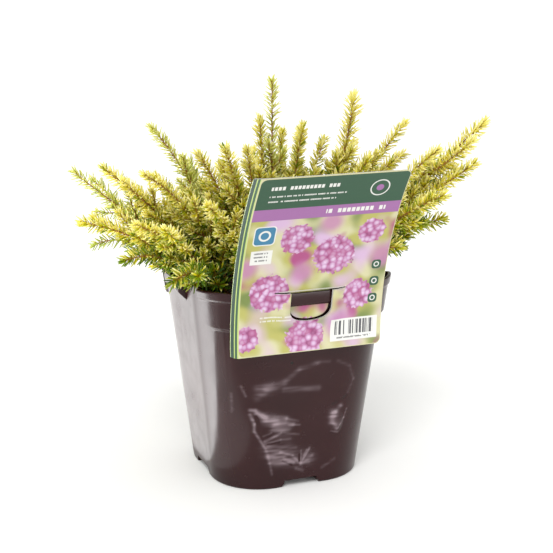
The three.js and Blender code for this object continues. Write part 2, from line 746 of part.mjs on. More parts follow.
// Whether a point of the foliage keeps clear of the pot, the growing mix and the label.
function clearOfHolder(point) {
  const { x, y, z } = point;
  const inRim = (grown) => insideSquare(x, y, RIM_HALF_WIDTH + grown, RIM_CORNER_RADIUS + grown);
  const over = z > POT_HEIGHT + CLEAR_OF_RIM;
  const within = z > SOIL_TOP_Z + CLEAR_OF_SOIL && inRim(-CLEAR_INSIDE);
  const beside = !inRim(CLEAR_BESIDE);
  const acrossCard = x > SPINE_LEFT - CLEAR_OF_CARD && x < CARD_RIGHT + CLEAR_OF_CARD;
  const upCard = z > CARD_FOOT_Z && z < CARD_TOP_Z + CLEAR_OF_CARD;
  const beforeBack = y < cardFrontY(x, z) + SPINE_DEPTH + CLEAR_OF_CARD;
  return (over || within || beside) && !(acrossCard && upCard && beforeBack);
}

// Straight pieces of a line, with the radius in the middle of each.
function linePieces(line, from, pieces, radiusAt, owner) {
  return Array.from({ length: pieces }, (_, i) => {
    const [start, end] = [mix(from, 1, i / pieces), mix(from, 1, (i + 1) / pieces)];
    return {
      start: line.getPoint(start),
      end: line.getPoint(end),
      radius: radiusAt((start + end) / 2),
      owner,
      isRod: true,
    };
  });
}

// The places of one shoot's needles: evenly along its leafy length, each turned on by the
// golden angle, leaning less towards the tip.
function needlePlaces(line, from, draw) {
  const leafy = line.getLength() * (1 - from);
  const count = Math.max(NEEDLE_FEWEST, Math.round(leafy / NEEDLE_STEP));
  const turn = 2 * Math.PI * draw();
  return Array.from({ length: count }, (_, i) => {
    const share = (i + 0.5) / (count - 0.5);
    return {
      place: mix(from, 1, Math.min(1, share)),
      turn: turn + i * GOLDEN_ANGLE,
      lean: mix(NEEDLE_LEAN, NEEDLE_TIP_LEAN, smoothRise(share, NEEDLE_TIP_FROM, 1)),
      length: NEEDLE_LENGTH * mix(...NEEDLE_LENGTH_RANGE, draw()),
    };
  });
}

// One needle's middle line, from the shoot's skin outwards.
function needlePiece({ line, stations, radiusAt }, { place, lean, length }, turn, shorter, owner) {
  const { along, across, over } = squareTo(line, place);
  const side = across.multiplyScalar(Math.cos(turn)).addScaledVector(over, Math.sin(turn));
  const way = along.multiplyScalar(Math.cos(lean)).addScaledVector(side, Math.sin(lean));
  const start = line.getPoint(place).addScaledVector(side, radiusAt(place) / 2);
  const end = start.clone().addScaledVector(way, length * shorter);
  const root = rootOnPanel(stations, place, turn);
  return { start, end, radius: NEEDLE_ROOT_RADIUS, owner, root };
}

// A leafy stem's shoots, the main one first. A side shoot is free of the main one's needles
// from a place on.
function shootsOf(tip) {
  const stem = stemLine(tip);
  const main = {
    line: stem,
    from: LEAFY_FROM,
    stations: STEM_STATIONS,
    radiusAt: stemRadius,
    pieces: STEM_PIECES,
    freeFrom: 0,
  };
  const sides = [...tip[4]].map((letter, i) => ({
    line: sideLine(stem, SIDE_PLACES[i], letter === "R" ? 1 : -1, SIDE_LENGTH * stem.getLength()),
    from: SIDE_LEAFY_FROM,
    stations: SIDE_STATIONS,
    radiusAt: sideRadius,
    pieces: SIDE_PIECES,
    freeFrom: SIDE_FREE_FROM,
  }));
  return [main, ...sides];
}

// Every needle is turned about its shoot, or shortened, until it passes clear of the other
// shoots, of their needles and of the pot and label. One that can't is left out.
function placeNeedles(stems) {
  const taken = stems.flatMap((shoots, owner) => shoots.flatMap(
    ({ line, pieces, radiusAt, freeFrom }, i) => linePieces(line, freeFrom, pieces, radiusAt, [owner, i]),
  ));
  const sameShoot = (a, b) => a[0] === b[0] && a[1] === b[1];
  const isClear = (needle) => {
    const middle = needle.start.clone().lerp(needle.end, NEEDLE_MIDDLE);
    if (![needle.end, middle].every(clearOfHolder)) {
      return false;
    }
    return taken.every((other) => (other.isRod && sameShoot(other.owner, needle.owner))
      || gapBetween(needle, other) > needle.radius + other.radius + NEEDLE_CLEARANCE);
  };
  return stems.map((shoots, owner) => {
    const draw = seededDraws(NEEDLE_SEED + NEEDLE_SEED_STEP * owner);
    return shoots.map((shoot, i) => {
      const needles = [];
      for (const spot of needlePlaces(shoot.line, shoot.from, draw)) {
        const options = NEEDLE_SHORTER.flatMap((shorter) => NEEDLE_TRIES.map(
          (turn) => needlePiece(shoot, spot, spot.turn + turn, shorter, [owner, i]),
        ));
        const needle = options.find(isClear);
        if (needle) {
          needles.push(needle);
          taken.push(needle);
        }
      }
      return needles;
    });
  });
}

function leafyStem(shoots, needles) {
  return joined(shoots.map((shoot, i) => needledRod(shoot, needles[i])));
}

// The plain hole that a stem stands in.
function stemHole([{ line, stations }]) {
  const above = stations.findIndex((place) => line.getPoint(place).z > SOIL_TOP_Z + HOLE_OVER_SOIL);
  const wide = (place) => stemRadius(place) + HOLE_GAP;
  const rings = rodRings(line, stations.slice(0, above + 1), wide);
  const { along } = squareTo(line, 0);
  rings[0].forEach((point) => point.addScaledVector(along, -HOLE_GAP));
  return loft(rings);
}

function soil(stems) {
  const inset = POT_WALL + FIT_GAP;
  const block = squareLoft([
    [FLOOR_THICKNESS + FIT_GAP, inset],
    [SOIL_EDGE_Z, inset],
    [SOIL_TOP_Z, SOIL_EDGE_SLOPE],
  ]);
  return block.subtract(channels(inset)).subtract(joined(stems.map(stemHole)));
}

// The object

function piece(name, solid, color, roughness) {
  const material = new THREE.MeshStandardMaterial({ color, roughness, metalness: 0 });
  const mesh = new THREE.Mesh(toGeometry(solid), material);
  mesh.name = name;
  return mesh;
}

const heath = new THREE.Group();
heath.name = "potted_heath";

const stems = STEM_TIPS.map(shootsOf);
const needles = placeNeedles(stems);

heath.add(piece("pot", pot(), POT_BROWN, POT_ROUGHNESS));
heath.add(piece("soil", soil(stems), SOIL_BROWN, SOIL_ROUGHNESS));
heath.add(piece("label", label(), CARD_GREEN, CARD_ROUGHNESS));
STEM_TIPS.forEach((tip, i) => {
  const name = `leafy_stem_${String(i + 1).padStart(2, "0")}`;
  const color = tip[2] < LOW_STEM_HEIGHT ? GREEN_LEAF : GOLD_LEAF;
  heath.add(piece(name, leafyStem(stems[i], needles[i]), color, LEAF_ROUGHNESS));
});

export default heath;
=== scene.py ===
"""A golden winter heath in a square nursery pot, with a folded card label on the pot's strap.

Metres, +Z up. The origin is the middle of the pot's foot, and the side that carries the label
looks along -Y. Lengths are written in millimetres times MM.
"""

import json
import math

import bpy
import numpy as np
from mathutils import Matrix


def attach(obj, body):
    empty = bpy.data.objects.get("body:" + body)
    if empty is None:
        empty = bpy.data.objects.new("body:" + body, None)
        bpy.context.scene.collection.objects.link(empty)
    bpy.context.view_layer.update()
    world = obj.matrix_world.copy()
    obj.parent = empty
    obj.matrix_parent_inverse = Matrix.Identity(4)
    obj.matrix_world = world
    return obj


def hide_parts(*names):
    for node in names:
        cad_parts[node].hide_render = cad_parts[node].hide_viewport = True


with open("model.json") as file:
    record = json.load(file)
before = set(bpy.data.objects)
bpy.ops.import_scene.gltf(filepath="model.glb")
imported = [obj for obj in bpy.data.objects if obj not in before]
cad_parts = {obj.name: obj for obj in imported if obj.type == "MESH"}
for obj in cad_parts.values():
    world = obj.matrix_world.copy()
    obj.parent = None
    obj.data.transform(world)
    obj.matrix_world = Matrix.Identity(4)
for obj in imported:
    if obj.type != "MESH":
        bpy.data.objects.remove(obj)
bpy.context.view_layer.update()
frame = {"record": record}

bl_info = {
    "name": "Potted winter heath",
    "version": (1, 0, 0),
    "blender": (4, 5, 0),
    "location": "3D View > Sidebar > Heath",
    "description": "Dresses a heath in its nursery pot: moulded pot, printed card, growing mix and sprays",
    "category": "Add Mesh",
}

MM = 0.001
BODY = "root"
UP = np.array([0.0, 0.0, 1.0])
QUARTER = math.pi / 2

# Pot: a tapered square with round corners
POT_HEIGHT = 140 * MM
FOOT_HALF_WIDTH = 51.8 * MM
RIM_HALF_WIDTH = 67.7 * MM
FOOT_CORNER_RADIUS = 33.8 * MM
RIM_CORNER_RADIUS = 40 * MM
FOOT_BEVEL = 1.2 * MM
LIP_FOOT_Z = 133.2 * MM
LIP_STEP_Z = 134.8 * MM
LIP_EDGE_Z = 139.3 * MM
PAD_FOOT_Z = 113 * MM
PAD_STEP_Z = 115.5 * MM
PAD_GAP_HALF_WIDTH = 41 * MM
PAD_CORNER_RADIUS = 6 * MM
PAD_EDGE_SHARE = 0.045
GAP_AT_FOOT = 30 * MM
FLOOR_SHARES = np.array([0.3, 0.6, 0.85])[:, None, None]
RIPPLE_SIZE = 28 * MM

# Strap in the middle of each side
STRAP_HALF_WIDTH = 16 * MM
STRAP_END_WALL = 1.7 * MM
STRAP_SHIFT = -2.3 * MM
STRAP_PROUD = 5.4 * MM
STRAP_THICKNESS = 1.5 * MM
STRAP_TOP_Z = 139.2 * MM
STRAP_FRONT_FOOT_Z = 131.5 * MM
STRAP_POINT_Z = 124.5 * MM
STRAP_ROOT = 0.8 * MM
STRAP_BEND = 1.7 * MM
STRAP_EDGE = 0.4 * MM

# Drainage under the floor
CHANNEL_HALF_WIDTH = 13.5 * MM
CHANNEL_HEIGHT = 5 * MM
CHANNEL_SLOPE = 2 * MM
DRAIN_RADIUS = 4 * MM
DRAIN_RING = 27 * MM
DRAIN_CORNER = 30 * MM
DRAIN_SIDES = 24

# Growing mix
SOIL_TOP_Z = 125 * MM
SOIL_EDGE_Z = 123 * MM
SOIL_FALL = (50 * MM, 64 * MM)
SOIL_BOTTOM_Z = 7.3 * MM
SOIL_INSET = 1.9 * MM
SOIL_LUMPS = ((9 * MM, 1.0, 11), (4 * MM, 0.6, 12), (1.8 * MM, 0.35, 13))
CRUMB_SEED = 41
CRUMB_FIELD = 60 * MM
CRUMB_MARGIN = 4 * MM

# Label
CARD_LEFT = -49.3 * MM
CARD_RIGHT = 49 * MM
CARD_FOOT_Z = 99 * MM
CARD_TOP_Z = 219 * MM
CARD_FRONT_Y = -68.2 * MM
CARD_LEAN = 42.3 * MM
CARD_LEAN_FROM_Z = 104.8 * MM
CARD_LEAN_POWER = 2.05
CARD_TWIST = 2 * MM
CARD_CORNER_RADIUS = 4 * MM
SPINE_LEFT = -53.2 * MM
SPINE_DEPTH = 4.3 * MM
LEAF_GAP = 1.1 * MM
LEAF_SPREAD = 5 * MM
TONGUE_X = STRAP_SHIFT
TONGUE_HALF_WIDTH = 13.3 * MM
TONGUE_FOOT_Z = 121.2 * MM
TONGUE_PLAY = 0.3 * MM
WINDOW_HALF_WIDTH = 14.3 * MM
WINDOW_FOOT_Z = 119.9 * MM
FOOT_RISE = 9 * MM
SLIT_Z = 140.3 * MM
SLIT_HEIGHT = 0.5 * MM
SLIT_HALF_WIDTH = 24.2 * MM
BULGE = 4 * MM
BULGE_FULL_HALF_WIDTH = 16.5 * MM
BULGE_HALF_WIDTH = 26 * MM
BULGE_FOOT_Z = 110 * MM
BULGE_FULL_Z = 130 * MM
CARD_PARTS = ("back", "spine", "front", "edge")

# Which of the card's faces are which: how squarely a face looks out; how far behind the front
# leaf's outer face the front and its tongue may lie, and, over the card's thickness, the back
# leaf; and how far past its fold the spine reaches
LOOKS_OUT = 0.35
FRONT_DEPTH = 0.5 * MM
TONGUE_DEPTH = 4.6 * MM
BACK_DEPTH = 0.4 * MM
SPINE_MARGIN = 0.2 * MM

# The print's map: its units in a metre, and the millimetres in a unit
UV_PER_METRE = 10
MM_PER_UV = 100

# The print, in millimetres on the card, from its lower left corner
CARD_WIDE = 98.3
CARD_LONG = 129
HEADER_HEIGHT = 33.5
INK_BLUR = 0.12
ROW_HEIGHT = 3.4
ONE_ROW = 1000
BROADEST_BLOCK = 3.1
BROAD_BLOCK = 2.5
FINE_BLOCK = 0.8
BAR_WIDTH = 0.4

# Round flower heads: middle and radius. The far ones are out of focus.
NEAR_HEADS = (
    (33, 80, 12), (60, 66, 15), (83, 82, 10), (19, 42, 14), (80, 36, 11), (45, 10, 14), (5, 12, 9),
)
FAR_HEADS = ((54, 91, 9), (40, 55, 9), (70, 16, 12), (94, 62, 10), (2, 60, 9))

# Soft blots of the ground: the noise's shift, scale and two levels, and the ink
BLOTS = (
    (11, 0.05, 0.42, 0.6, "cream"), (47, 0.04, 0.5, 0.66, "leaf"),
    (83, 0.035, 0.5, 0.68, "lilac"), (131, 0.05, 0.58, 0.74, "pink"),
)

# Panels, each over the ones before: middle, size, corner radius and ink
PANELS = (
    (CARD_WIDE / 2, CARD_LONG - HEADER_HEIGHT / 2, CARD_WIDE + 4, HEADER_HEIGHT, 0.5, "green"),
    (CARD_WIDE / 2, 100, CARD_WIDE + 4, 9, 0.4, "mauve"),
    (80, 116.5, 13, 13, 6.49, "white"),
    (80, 116.5, 11.4, 11.4, 5.69, "green"),
    (80, 116.5, 5, 5, 2.49, "mauve"),
    (11, 84, 14.4, 14.4, 2.6, "white"),
    (11, 84, 13, 13, 2.2, "blue"),
    (11, 84, 8, 8, 3.99, "white"),
    (11, 84, 5.4, 5.4, 2.69, "blue"),
    (11, 68, 14, 10, 0.4, "white"),
    (79, 12, 33, 15, 0.4, "white"),
)

# Three small signs, one over another, and the panels of each: size, corner radius and ink
SIGN_X = 91
SIGN_HEIGHTS = (32, 44, 56)
SIGN_PANELS = ((6.4, 2.1, "green"), (3.8, 1.85, "white"), (2.4, 1.15, "green"))

# The spine's panels, at the left of the front leaf: middle, size, corner radius and ink
SPINE_PANELS = (
    (-2.9, CARD_LONG / 2, 1.6, CARD_LONG + 4, 0.3, "deep_green"),
    (-1.1, CARD_LONG / 2, 1.1, CARD_LONG + 4, 0.3, "green"),
)

# Rows of marks on the front leaf: middle, size, the kind of mark and the ink
MARKS = (
    (30, 121, 44, 2.8, "broad", "white"),
    (68, 100, 40, 3.2, "broadest", "white"),
    (33, 114.5, 50, 1.1, "fine", "white"),
    (30, 110.5, 44, 1.1, "fine", "white"),
    (24, 25.2, 20, 0.9, "fine", "white"),
    (24, 22.8, 20, 0.9, "fine", "white"),
    (11, 71, 10, 1.1, "fine", "print"),
    (11, 68.4, 10, 1.1, "fine", "print"),
    (11, 65.8, 8, 1.1, "fine", "print"),
    (79, 6.6, 24, 1.1, "fine", "print"),
    (79, 13.4, 27, 9.6, "bars", "print"),
)

# Leafy stems
ROOT_Z = 109 * MM
ROOT_NEAR = 6.5 * MM
ROOT_SPREAD = 0.27
LEAVE_LEAN = 0.45
LEAVE_REACH = 0.38
ARRIVE_REACH = 0.34
SIDE_PLACES = (0.52, 0.68, 0.8)
SIDE_LENGTH = 0.27
SIDE_STRETCH = 1.04
SIDE_SPREAD = math.radians(40)
SIDE_BEND = 0.55
SIDE_TIP_OUT = 0.25
SIDE_TIP_ALONG = 0.2
GOLDEN_ANGLE = math.radians(137.508)
TUFTS_FROM = 0.26
TUFTS_TO = 0.7
TUFT_SIZES = (0.55, 1.25)
TUFT_SPREADS = (34, 50)
STEM_SEED = 499

# Wood: sides, the tip's share of the radius, how the wood thins towards it, and its tone. For
# each kind of shoot: where its leaves start, its share of the stem's radius, and its sections.
WOOD_SIDES = 6
WOOD_TIP = 0.28
WOOD_POWER = 1.2
WOOD_TONE = 0.5
SHOOT_KINDS = {"main": (0.32, 1.0, 22), "side": (0.08, 0.62, 9), "tuft": (0.1, 0.45, 5)}

# Needles: how many stand in a whorl, and how whorls crowd to the tip. How far place, turn and
# lean stray. The stretch at the tip where needles are shorter and more upright, and how much
# shorter they are there and on tufts. How their sizes stray, how deep they root, and their
# shape: rings along the length, widths there, corners of a ring, and where each point lies.
# Where along its length a needle is tested for keeping clear.
WHORL = 4
FEWEST_WHORLS = 4
CROWDING = 1.18
PLACE_STRAY = 0.18
TURN_STRAY = 0.3
LEAN_STRAY = 0.22
TIP_STRETCH = 9 * MM
TIP_SHORTER = 0.78
TUFT_SHORTER = 0.92
NEEDLE_SIZES = (0.82, 1.14)
NEEDLE_SUNK = 0.6
NEEDLE_RINGS = np.array([0.0, 0.35, 0.86])
NEEDLE_WIDTHS = np.array([0.6, 1.0, 0.9])
NEEDLE_CORNERS = np.array([[-1.0, 0.25], [1.0, 0.25], [0.0, -0.75]])
NEEDLE_REACH = np.array([*NEEDLE_RINGS.repeat(3), 1.0])
NEEDLE_PROBES = np.array([0.45, 0.75, 1.0])[:, None, None]

# How far sprays keep from the rim, the wall and the card
CLEAR_OVER_RIM = 0.4 * MM
CLEAR_IN_RIM = 2.4 * MM
CLEAR_BESIDE_RIM = 6.2 * MM
CLEAR_OF_CARD = 0.8 * MM

# A needle's tone, from 0, deep green, to 1, pale gold: its start, and what it gains over the
# rim, away from the plant's middle, high in the crown, low beside the rim, turned to the sky
# and on a wholly green stem. The gains over the rim, away from the middle, high in the crown
# and turned to the sky are painted light, and the loss low beside the rim is painted shade:
# lit needles are painted paler gold and shaded ones darker green. What it gains at a shoot's
# foot, and more at its tip. How far the tones of shoots and of needles stray, and how much
# more the low ones do. Between which heights and reaches the gains grow.
TONE_START = 0.28
TONE_PAINTED_LIT_OVER_RIM = 0.42
TONE_PAINTED_LIT_OUTSIDE = 0.19
TONE_PAINTED_LIT_CROWN = 0.13
TONE_PAINTED_SHADE_LOW = -0.2
TONE_PAINTED_SKY_LIGHT = 0.12
TONE_GREEN = -0.5
TONE_ALONG = {"main": (0.0, 0.22), "side": (0.12, 0.12), "tuft": (0.12, 0.12)}
SHOOT_TONE_STRAY = 0.06
TONE_STRAY = 0.25
LOW_TONE_STRAY = 0.4
LIT_HEIGHTS = (136 * MM, 236 * MM)
LOW_HEIGHTS = (138 * MM, 168 * MM)
HIGH_HEIGHTS = (190 * MM, 240 * MM)
OUT_REACHES = (20 * MM, 105 * MM)

# Stems by number: thin pale shoots with how full they are, and thick, bushy and low stems with
# how much longer than others their needles are
FRESH_STEMS = {1: 0.8, 2: 0.6, 7: 0.6, 14: 0.65}
LONG_NEEDLES = {
    8: 1.1, 9: 1.3, 11: 1.1, 19: 1.35, 22: 1.1, 25: 1.2, 26: 1.25, 27: 1.25, 28: 1.2, 34: 1.2,
}

# Each leafy stem's tip: heading round the pot in degrees from +X towards +Y, reach from the
# pot's middle line and height over the ground in millimetres, the tip's rise over the level in
# degrees, the sides that its side shoots leave on, and how green it is, from 0 to 1.
STEM_TIPS = (
    (150, 83, 233, 48, "R", 0.1),
    (160, 133, 205, 42, "LR", 0.35),
    (173, 113, 211, 38, "RL", 0.0),
    (190, 94, 210, 30, "L", 0.0),
    (181, 131, 180, 14, "LR", 0.05),
    (203, 116, 184, 22, "RL", 0.0),
    (166, 120, 158, -24, "R", 0.7),
    (193, 112, 158, -14, "L", 0.6),
    (213, 104, 149, -24, "", 0.6),
    (199, 62, 222, 50, "R", 0.1),
    (216, 55, 226, 60, "L", 0.1),
    (224, 92, 196, 28, "L", 0.0),
    (234, 80, 168, 2, "", 0.2),
    (80, 3, 265, 88, "", 0.2),
    (152, 9, 240, 84, "R", 0.1),
    (204, 24, 222, 76, "L", 0.1),
    (28, 31, 233, 74, "R", 0.1),
    (8, 40, 224, 66, "L", 0.15),
    (0, 59, 252, 84, "", 0.15),
    (12, 112, 231, 44, "R", 0.25),
    (-8, 92, 214, 30, "R", 0.1),
    (-20, 141, 238, 45, "LR", 0.25),
    (-36, 110, 223, 40, "R", 0.2),
    (-28, 134, 213, 36, "RL", 0.3),
    (-49, 121, 198, 24, "R", 0.5),
    (-43, 104, 177, 12, "L", 0.7),
    (-57, 97, 165, 0, "R", 0.7),
    (-14, 118, 170, 10, "L", 0.6),
    (2, 122, 190, 26, "R", 0.5),
    (22, 112, 172, 10, "L", 0.65),
    (34, 104, 214, 46, "LR", 0.15),
    (46, 116, 186, 24, "R", 0.4),
    (57, 96, 222, 54, "L", 0.1),
    (66, 112, 168, 8, "R", 0.5),
    (77, 106, 206, 38, "LR", 0.1),
    (90, 105, 180, 18, "L", 0.3),
    (97, 84, 198, 42, "R", 0.1),
    (108, 108, 200, 34, "L", 0.15),
    (118, 114, 166, 6, "R", 0.5),
    (128, 98, 194, 38, "L", 0.1),
    (140, 118, 176, 20, "LR", 0.2),
    (62, 50, 226, 66, "R", 0.1),
    (120, 46, 206, 62, "L", 0.1),
    (178, 62, 192, 50, "R", 0.3),
    (246, 62, 196, 52, "", 0.2),
    (262, 52, 206, 62, "", 0.2),
    (281, 56, 202, 58, "", 0.2),
    (300, 62, 206, 54, "", 0.2),
    (318, 66, 216, 58, "", 0.2),
    (333, 62, 196, 48, "L", 0.3),
)

# The photo's viewpoint
VIEW_AZIMUTH = math.radians(-21.02)
VIEW_ELEVATION = math.radians(13.51)
VIEW_DISTANCE = 816.77 * MM
VIEW_TARGET = (2.25 * MM, -0.87 * MM, 132.61 * MM)
VIEW_LENS_MM = 77.42
SENSOR_MM = 36

# Floor and lights, in metres. The two panels lie on the floor and shine up.
FLOOR_RADII = np.array([0.5, 2.0, 8.0, 30.0, 90.0])[:, None]
FLOOR_SIDES = 64
KEY_PLACE = (-0.6, -0.95, 1.35)
KEY_SPREAD = math.radians(25)
STRIP_PLACE = (0.24, -0.65, 0.085)
STRIP_SIZE = (0.35, 0.16)
FAR_PANEL_PLACE = (-0.605, 0.55, 0.004)
FAR_PANEL_SIZE = 1.1
NEAR_PANEL_PLACE = (-0.26, 0.1, 0.005)
NEAR_PANEL_SIZE = 0.4

# The near panel's glow: the point its turn is measured round, the turn at which it starts, how
# far from that point it ends and over what length, and what is left past its end
FAN_CORNER = (-41 * MM, -36.5 * MM, 0.0)
FAN_TURN = math.radians(60)
FAN_END_Y = 29 * MM
FAN_END_LENGTH = 12 * MM
FAN_PAST_END = 0.065


# Shared helpers


def linear(hex_text):
    """The light values of a screen colour written as hex: the sRGB curve undone."""
    screen = np.array([int(hex_text[i:i + 2], 16) for i in (0, 2, 4)]) / 255
    light = np.where(screen <= 0.04045, screen / 12.92, ((screen + 0.055) / 1.055) ** 2.4)
    return tuple(float(value) for value in light)


def colour(name, hex_text, description):
    """A setting that is a colour, with its default as hex."""
    return bpy.props.FloatVectorProperty(
        name=name, description=description, subtype="COLOR", size=3, min=0, max=1, default=linear(hex_text),
    )


def length(name, value, description, most=0.5):
    """A setting that is a length in metres."""
    return bpy.props.FloatProperty(
        name=name, description=description, unit="LENGTH", default=value, min=0, max=most, precision=5,
    )


def factor(name, value, description, most=1.0):
    """A setting that is a plain number from 0 to the most."""
    return bpy.props.FloatProperty(
        name=name, description=description, subtype="FACTOR", default=value, min=0, max=most,
    )


def angle(name, degrees, description):
    """A setting that is an angle."""
    return bpy.props.FloatProperty(
        name=name, description=description, subtype="ANGLE", default=math.radians(degrees),
    )


def strength(name, value, description, unit="NONE"):
    """A setting for how strong a light is."""
    return bpy.props.FloatProperty(name=name, description=description, default=value, min=0, unit=unit)


def mix(low, high, share):
    """The value that lies a share of the way from low to high."""
    return low + (high - low) * share


def smooth(value, low, high):
    """Rises from 0 at low to 1 at high along the curve 3t squared minus 2t cubed."""
    t = np.clip((value - low) / (high - low), 0, 1)
    return t * t * (3 - 2 * t)


def unit(vectors):
    """Vectors divided by their own lengths."""
    return vectors / np.linalg.norm(vectors, axis=-1, keepdims=True)


def turned_round(x, y, turn):
    """A place turned round the pot's middle line, anticlockwise from above."""
    cos, sin = np.cos(turn), np.sin(turn)
    return x * cos - y * sin, x * sin + y * cos


def grid_quads(rows, columns, wrap=False):
    """The four corners of every cell of a grid, numbered row by row. A wrapped grid joins its
    last column to its first."""
    across = columns if wrap else columns - 1
    first = np.arange(rows - 1)[:, None] * columns + np.arange(across)[None, :]
    second = np.arange(rows - 1)[:, None] * columns + (np.arange(across)[None, :] + 1) % columns
    return np.stack([first, second, second + columns, first + columns], axis=-1).reshape(-1, 4)


def fan(centre, ring, turned=False):
    """Triangles from a centre to each side of a closed ring."""
    after = np.roll(ring, -1)
    pair = (after, ring) if turned else (ring, after)
    return np.stack([np.full(len(ring), centre), *pair], axis=-1)


def closed_tube(rings, start, end, turned=False):
    """Rings of points as one skin, closed by a fan onto a point at each end: its points, its
    quads and its triangles. Turned, for rings that run the other way round."""
    rows, columns = rings.shape[:2]
    count = rows * columns
    points = np.concatenate([rings.reshape(-1, 3), [start], [end]])
    quads = grid_quads(rows, columns, wrap=True)
    triangles = np.concatenate([
        fan(count, np.arange(columns), turned=not turned),
        fan(count + 1, np.arange(count - columns, count), turned=turned),
    ])
    return points, quads[:, ::-1] if turned else quads, triangles


def closed_sheet(front, back):
    """Two grids of points, back to back, closed by a border round their edges: its points and
    its quads."""
    rows, columns = front.shape[:2]
    count = rows * columns
    face = grid_quads(rows, columns)
    ring = np.concatenate([
        np.arange(columns), np.arange(1, rows) * columns + columns - 1,
        np.arange(count - 2, count - columns - 1, -1), np.arange(rows - 2, 0, -1) * columns,
    ])
    after = np.roll(ring, -1)
    border = np.stack([after, ring, ring + count, after + count], axis=-1)
    points = np.concatenate([front.reshape(-1, 3), back.reshape(-1, 3)])
    return points, np.concatenate([face, face[:, ::-1] + count, border])


def new_piece(name, points, quads, triangles=()):
    """A piece of the given points, four-cornered and three-cornered faces."""
    quads = np.asarray(quads, int).reshape(-1, 4)
    triangles = np.asarray(triangles, int).reshape(-1, 3)
    mesh = bpy.data.meshes.new(name)
    mesh.vertices.add(len(points))
    mesh.vertices.foreach_set("co", np.asarray(points, np.float32).ravel())
    corners = np.concatenate([quads.ravel(), triangles.ravel()])
    mesh.loops.add(len(corners))
    mesh.loops.foreach_set("vertex_index", corners.astype(np.int32))
    starts = np.concatenate([
        np.arange(len(quads)) * 4,
        len(quads) * 4 + np.arange(len(triangles)) * 3,
    ])
    mesh.polygons.add(len(starts))
    mesh.polygons.foreach_set("loop_start", starts.astype(np.int32))
    mesh.update(calc_edges=True)
    piece = bpy.data.objects.new(name, mesh)
    bpy.context.scene.collection.objects.link(piece)
    return piece


def finish_piece(piece, slot, *nodes, sharp=math.radians(40)):
    """Smooth faces with sharp edges past an angle; the piece rides on the body and stands for the
    nodes. The slot is not used."""
    piece.data.shade_smooth()
    piece.data.set_sharp_from_angle(angle=sharp)
    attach(piece, BODY)
    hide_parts(*nodes)


def combine(piece, tool, operation):
    """The piece joined with, or cut by, another closed solid, which is used up."""
    modifier = piece.modifiers.new("combine", "BOOLEAN")
    modifier.object = tool
    modifier.operation = operation
    modifier.solver = "MANIFOLD"
    graph = bpy.context.evaluated_depsgraph_get()
    made = bpy.data.meshes.new_from_object(piece.evaluated_get(graph), depsgraph=graph)
    if not made.polygons:
        raise RuntimeError(f"{operation} left nothing of {piece.name}")
    piece.modifiers.clear()
    piece.data = made
    bpy.data.objects.remove(tool)


def set_materials(piece, *materials):
    """Puts the materials in the piece's slots, in order, in place of any others."""
    piece.data.materials.clear()
    for material in materials:
        piece.data.materials.append(material)


def vectors_of(items, key):
    """One vector of each point or face of a mesh, as rows of a table."""
    values = np.zeros(len(items) * 3, np.float32)
    items.foreach_get(key, values)
    return values.reshape(-1, 3).astype(float)


def keep_values(mesh, name, values):
    """Keeps a number on each point of a mesh, for a material to read."""
    attribute = mesh.attributes.new(name, "FLOAT", "POINT")
    attribute.data.foreach_set("value", np.asarray(values, np.float32))


def value_noise(places, size, seed):
    """Smooth noise from -1 to 1: a random value at each corner of a lattice of the given size,
    mixed along smooth curves between the corners."""
    scaled = np.asarray(places, float) / size + 1000
    cell = np.floor(scaled).astype(np.int64)
    share = scaled - cell
    share = share * share * (3 - 2 * share)
    total = np.zeros(scaled.shape[:-1])
    dimensions = scaled.shape[-1]
    primes = np.array([73856093, 19349663, 83492791])[:dimensions]
    for corner in range(2 ** dimensions):
        bits = np.array([(corner >> axis) & 1 for axis in range(dimensions)])
        key = ((cell + bits) * primes).sum(-1) + seed * 2654435
        key = (key ^ (key >> 13)) * 1274126177 % 4294967291
        weight = np.where(bits == 1, share, 1 - share).prod(-1)
        total += weight * ((key % 65536) / 32767.5 - 1)
    return total


# Materials


def connect(tree, made, inputs):
    """Sets a node's inputs: an output is linked, and anything else is the input's own value."""
    for key, value in inputs.items():
        if isinstance(value, bpy.types.NodeSocket):
            tree.links.new(value, made.inputs[key])
        else:
            made.inputs[key].default_value = value


def node(tree, kind, inputs=None, **settings):
    """Adds one node, with its settings and its inputs."""
    made = tree.nodes.new(kind)
    for name, value in settings.items():
        setattr(made, name, value)
    connect(tree, made, inputs or {})
    return made


def new_material(name):
    """An empty node material, its tree and its Principled shader."""
    material = bpy.data.materials.new(name)
    material.use_nodes = True
    tree = material.node_tree
    tree.nodes.clear()
    shader = node(tree, "ShaderNodeBsdfPrincipled")
    node(tree, "ShaderNodeOutputMaterial", {"Surface": shader.outputs["BSDF"]})
    return material, tree, shader


def opaque(rgb):
    """A light colour with full cover."""
    return (*rgb, 1.0)


def maths(tree, operation, *values, **settings):
    """One step of arithmetic on numbers."""
    return node(tree, "ShaderNodeMath", dict(enumerate(values)), operation=operation, **settings).outputs[0]


def vector_maths(tree, operation, *values):
    """One step of arithmetic on vectors, or a vector's length."""
    made = node(tree, "ShaderNodeVectorMath", dict(enumerate(values)), operation=operation)
    return made.outputs["Value" if operation == "LENGTH" else "Vector"]


def split(tree, vector):
    """A vector's X, Y and Z."""
    return node(tree, "ShaderNodeSeparateXYZ", {"Vector": vector}).outputs


def ranged(tree, value, low, high, to_low=0.0, to_high=1.0, **settings):
    """A value carried from one range to another, and held at its ends."""
    return node(tree, "ShaderNodeMapRange", {
        "Value": value, "From Min": low, "From Max": high, "To Min": to_low, "To Max": to_high,
    }, **settings).outputs["Result"]


def noise(tree, place, scale, detail, **others):
    """Soft noise from 0 to 1."""
    inputs = {"Vector": place, "Scale": scale, "Detail": detail, **others}
    return node(tree, "ShaderNodeTexNoise", inputs).outputs["Fac"]


def cells(tree, place, scale):
    """Cells round points of a random lattice: Distance from the point, and a random Color."""
    return node(tree, "ShaderNodeTexVoronoi", {"Vector": place, "Scale": scale}).outputs


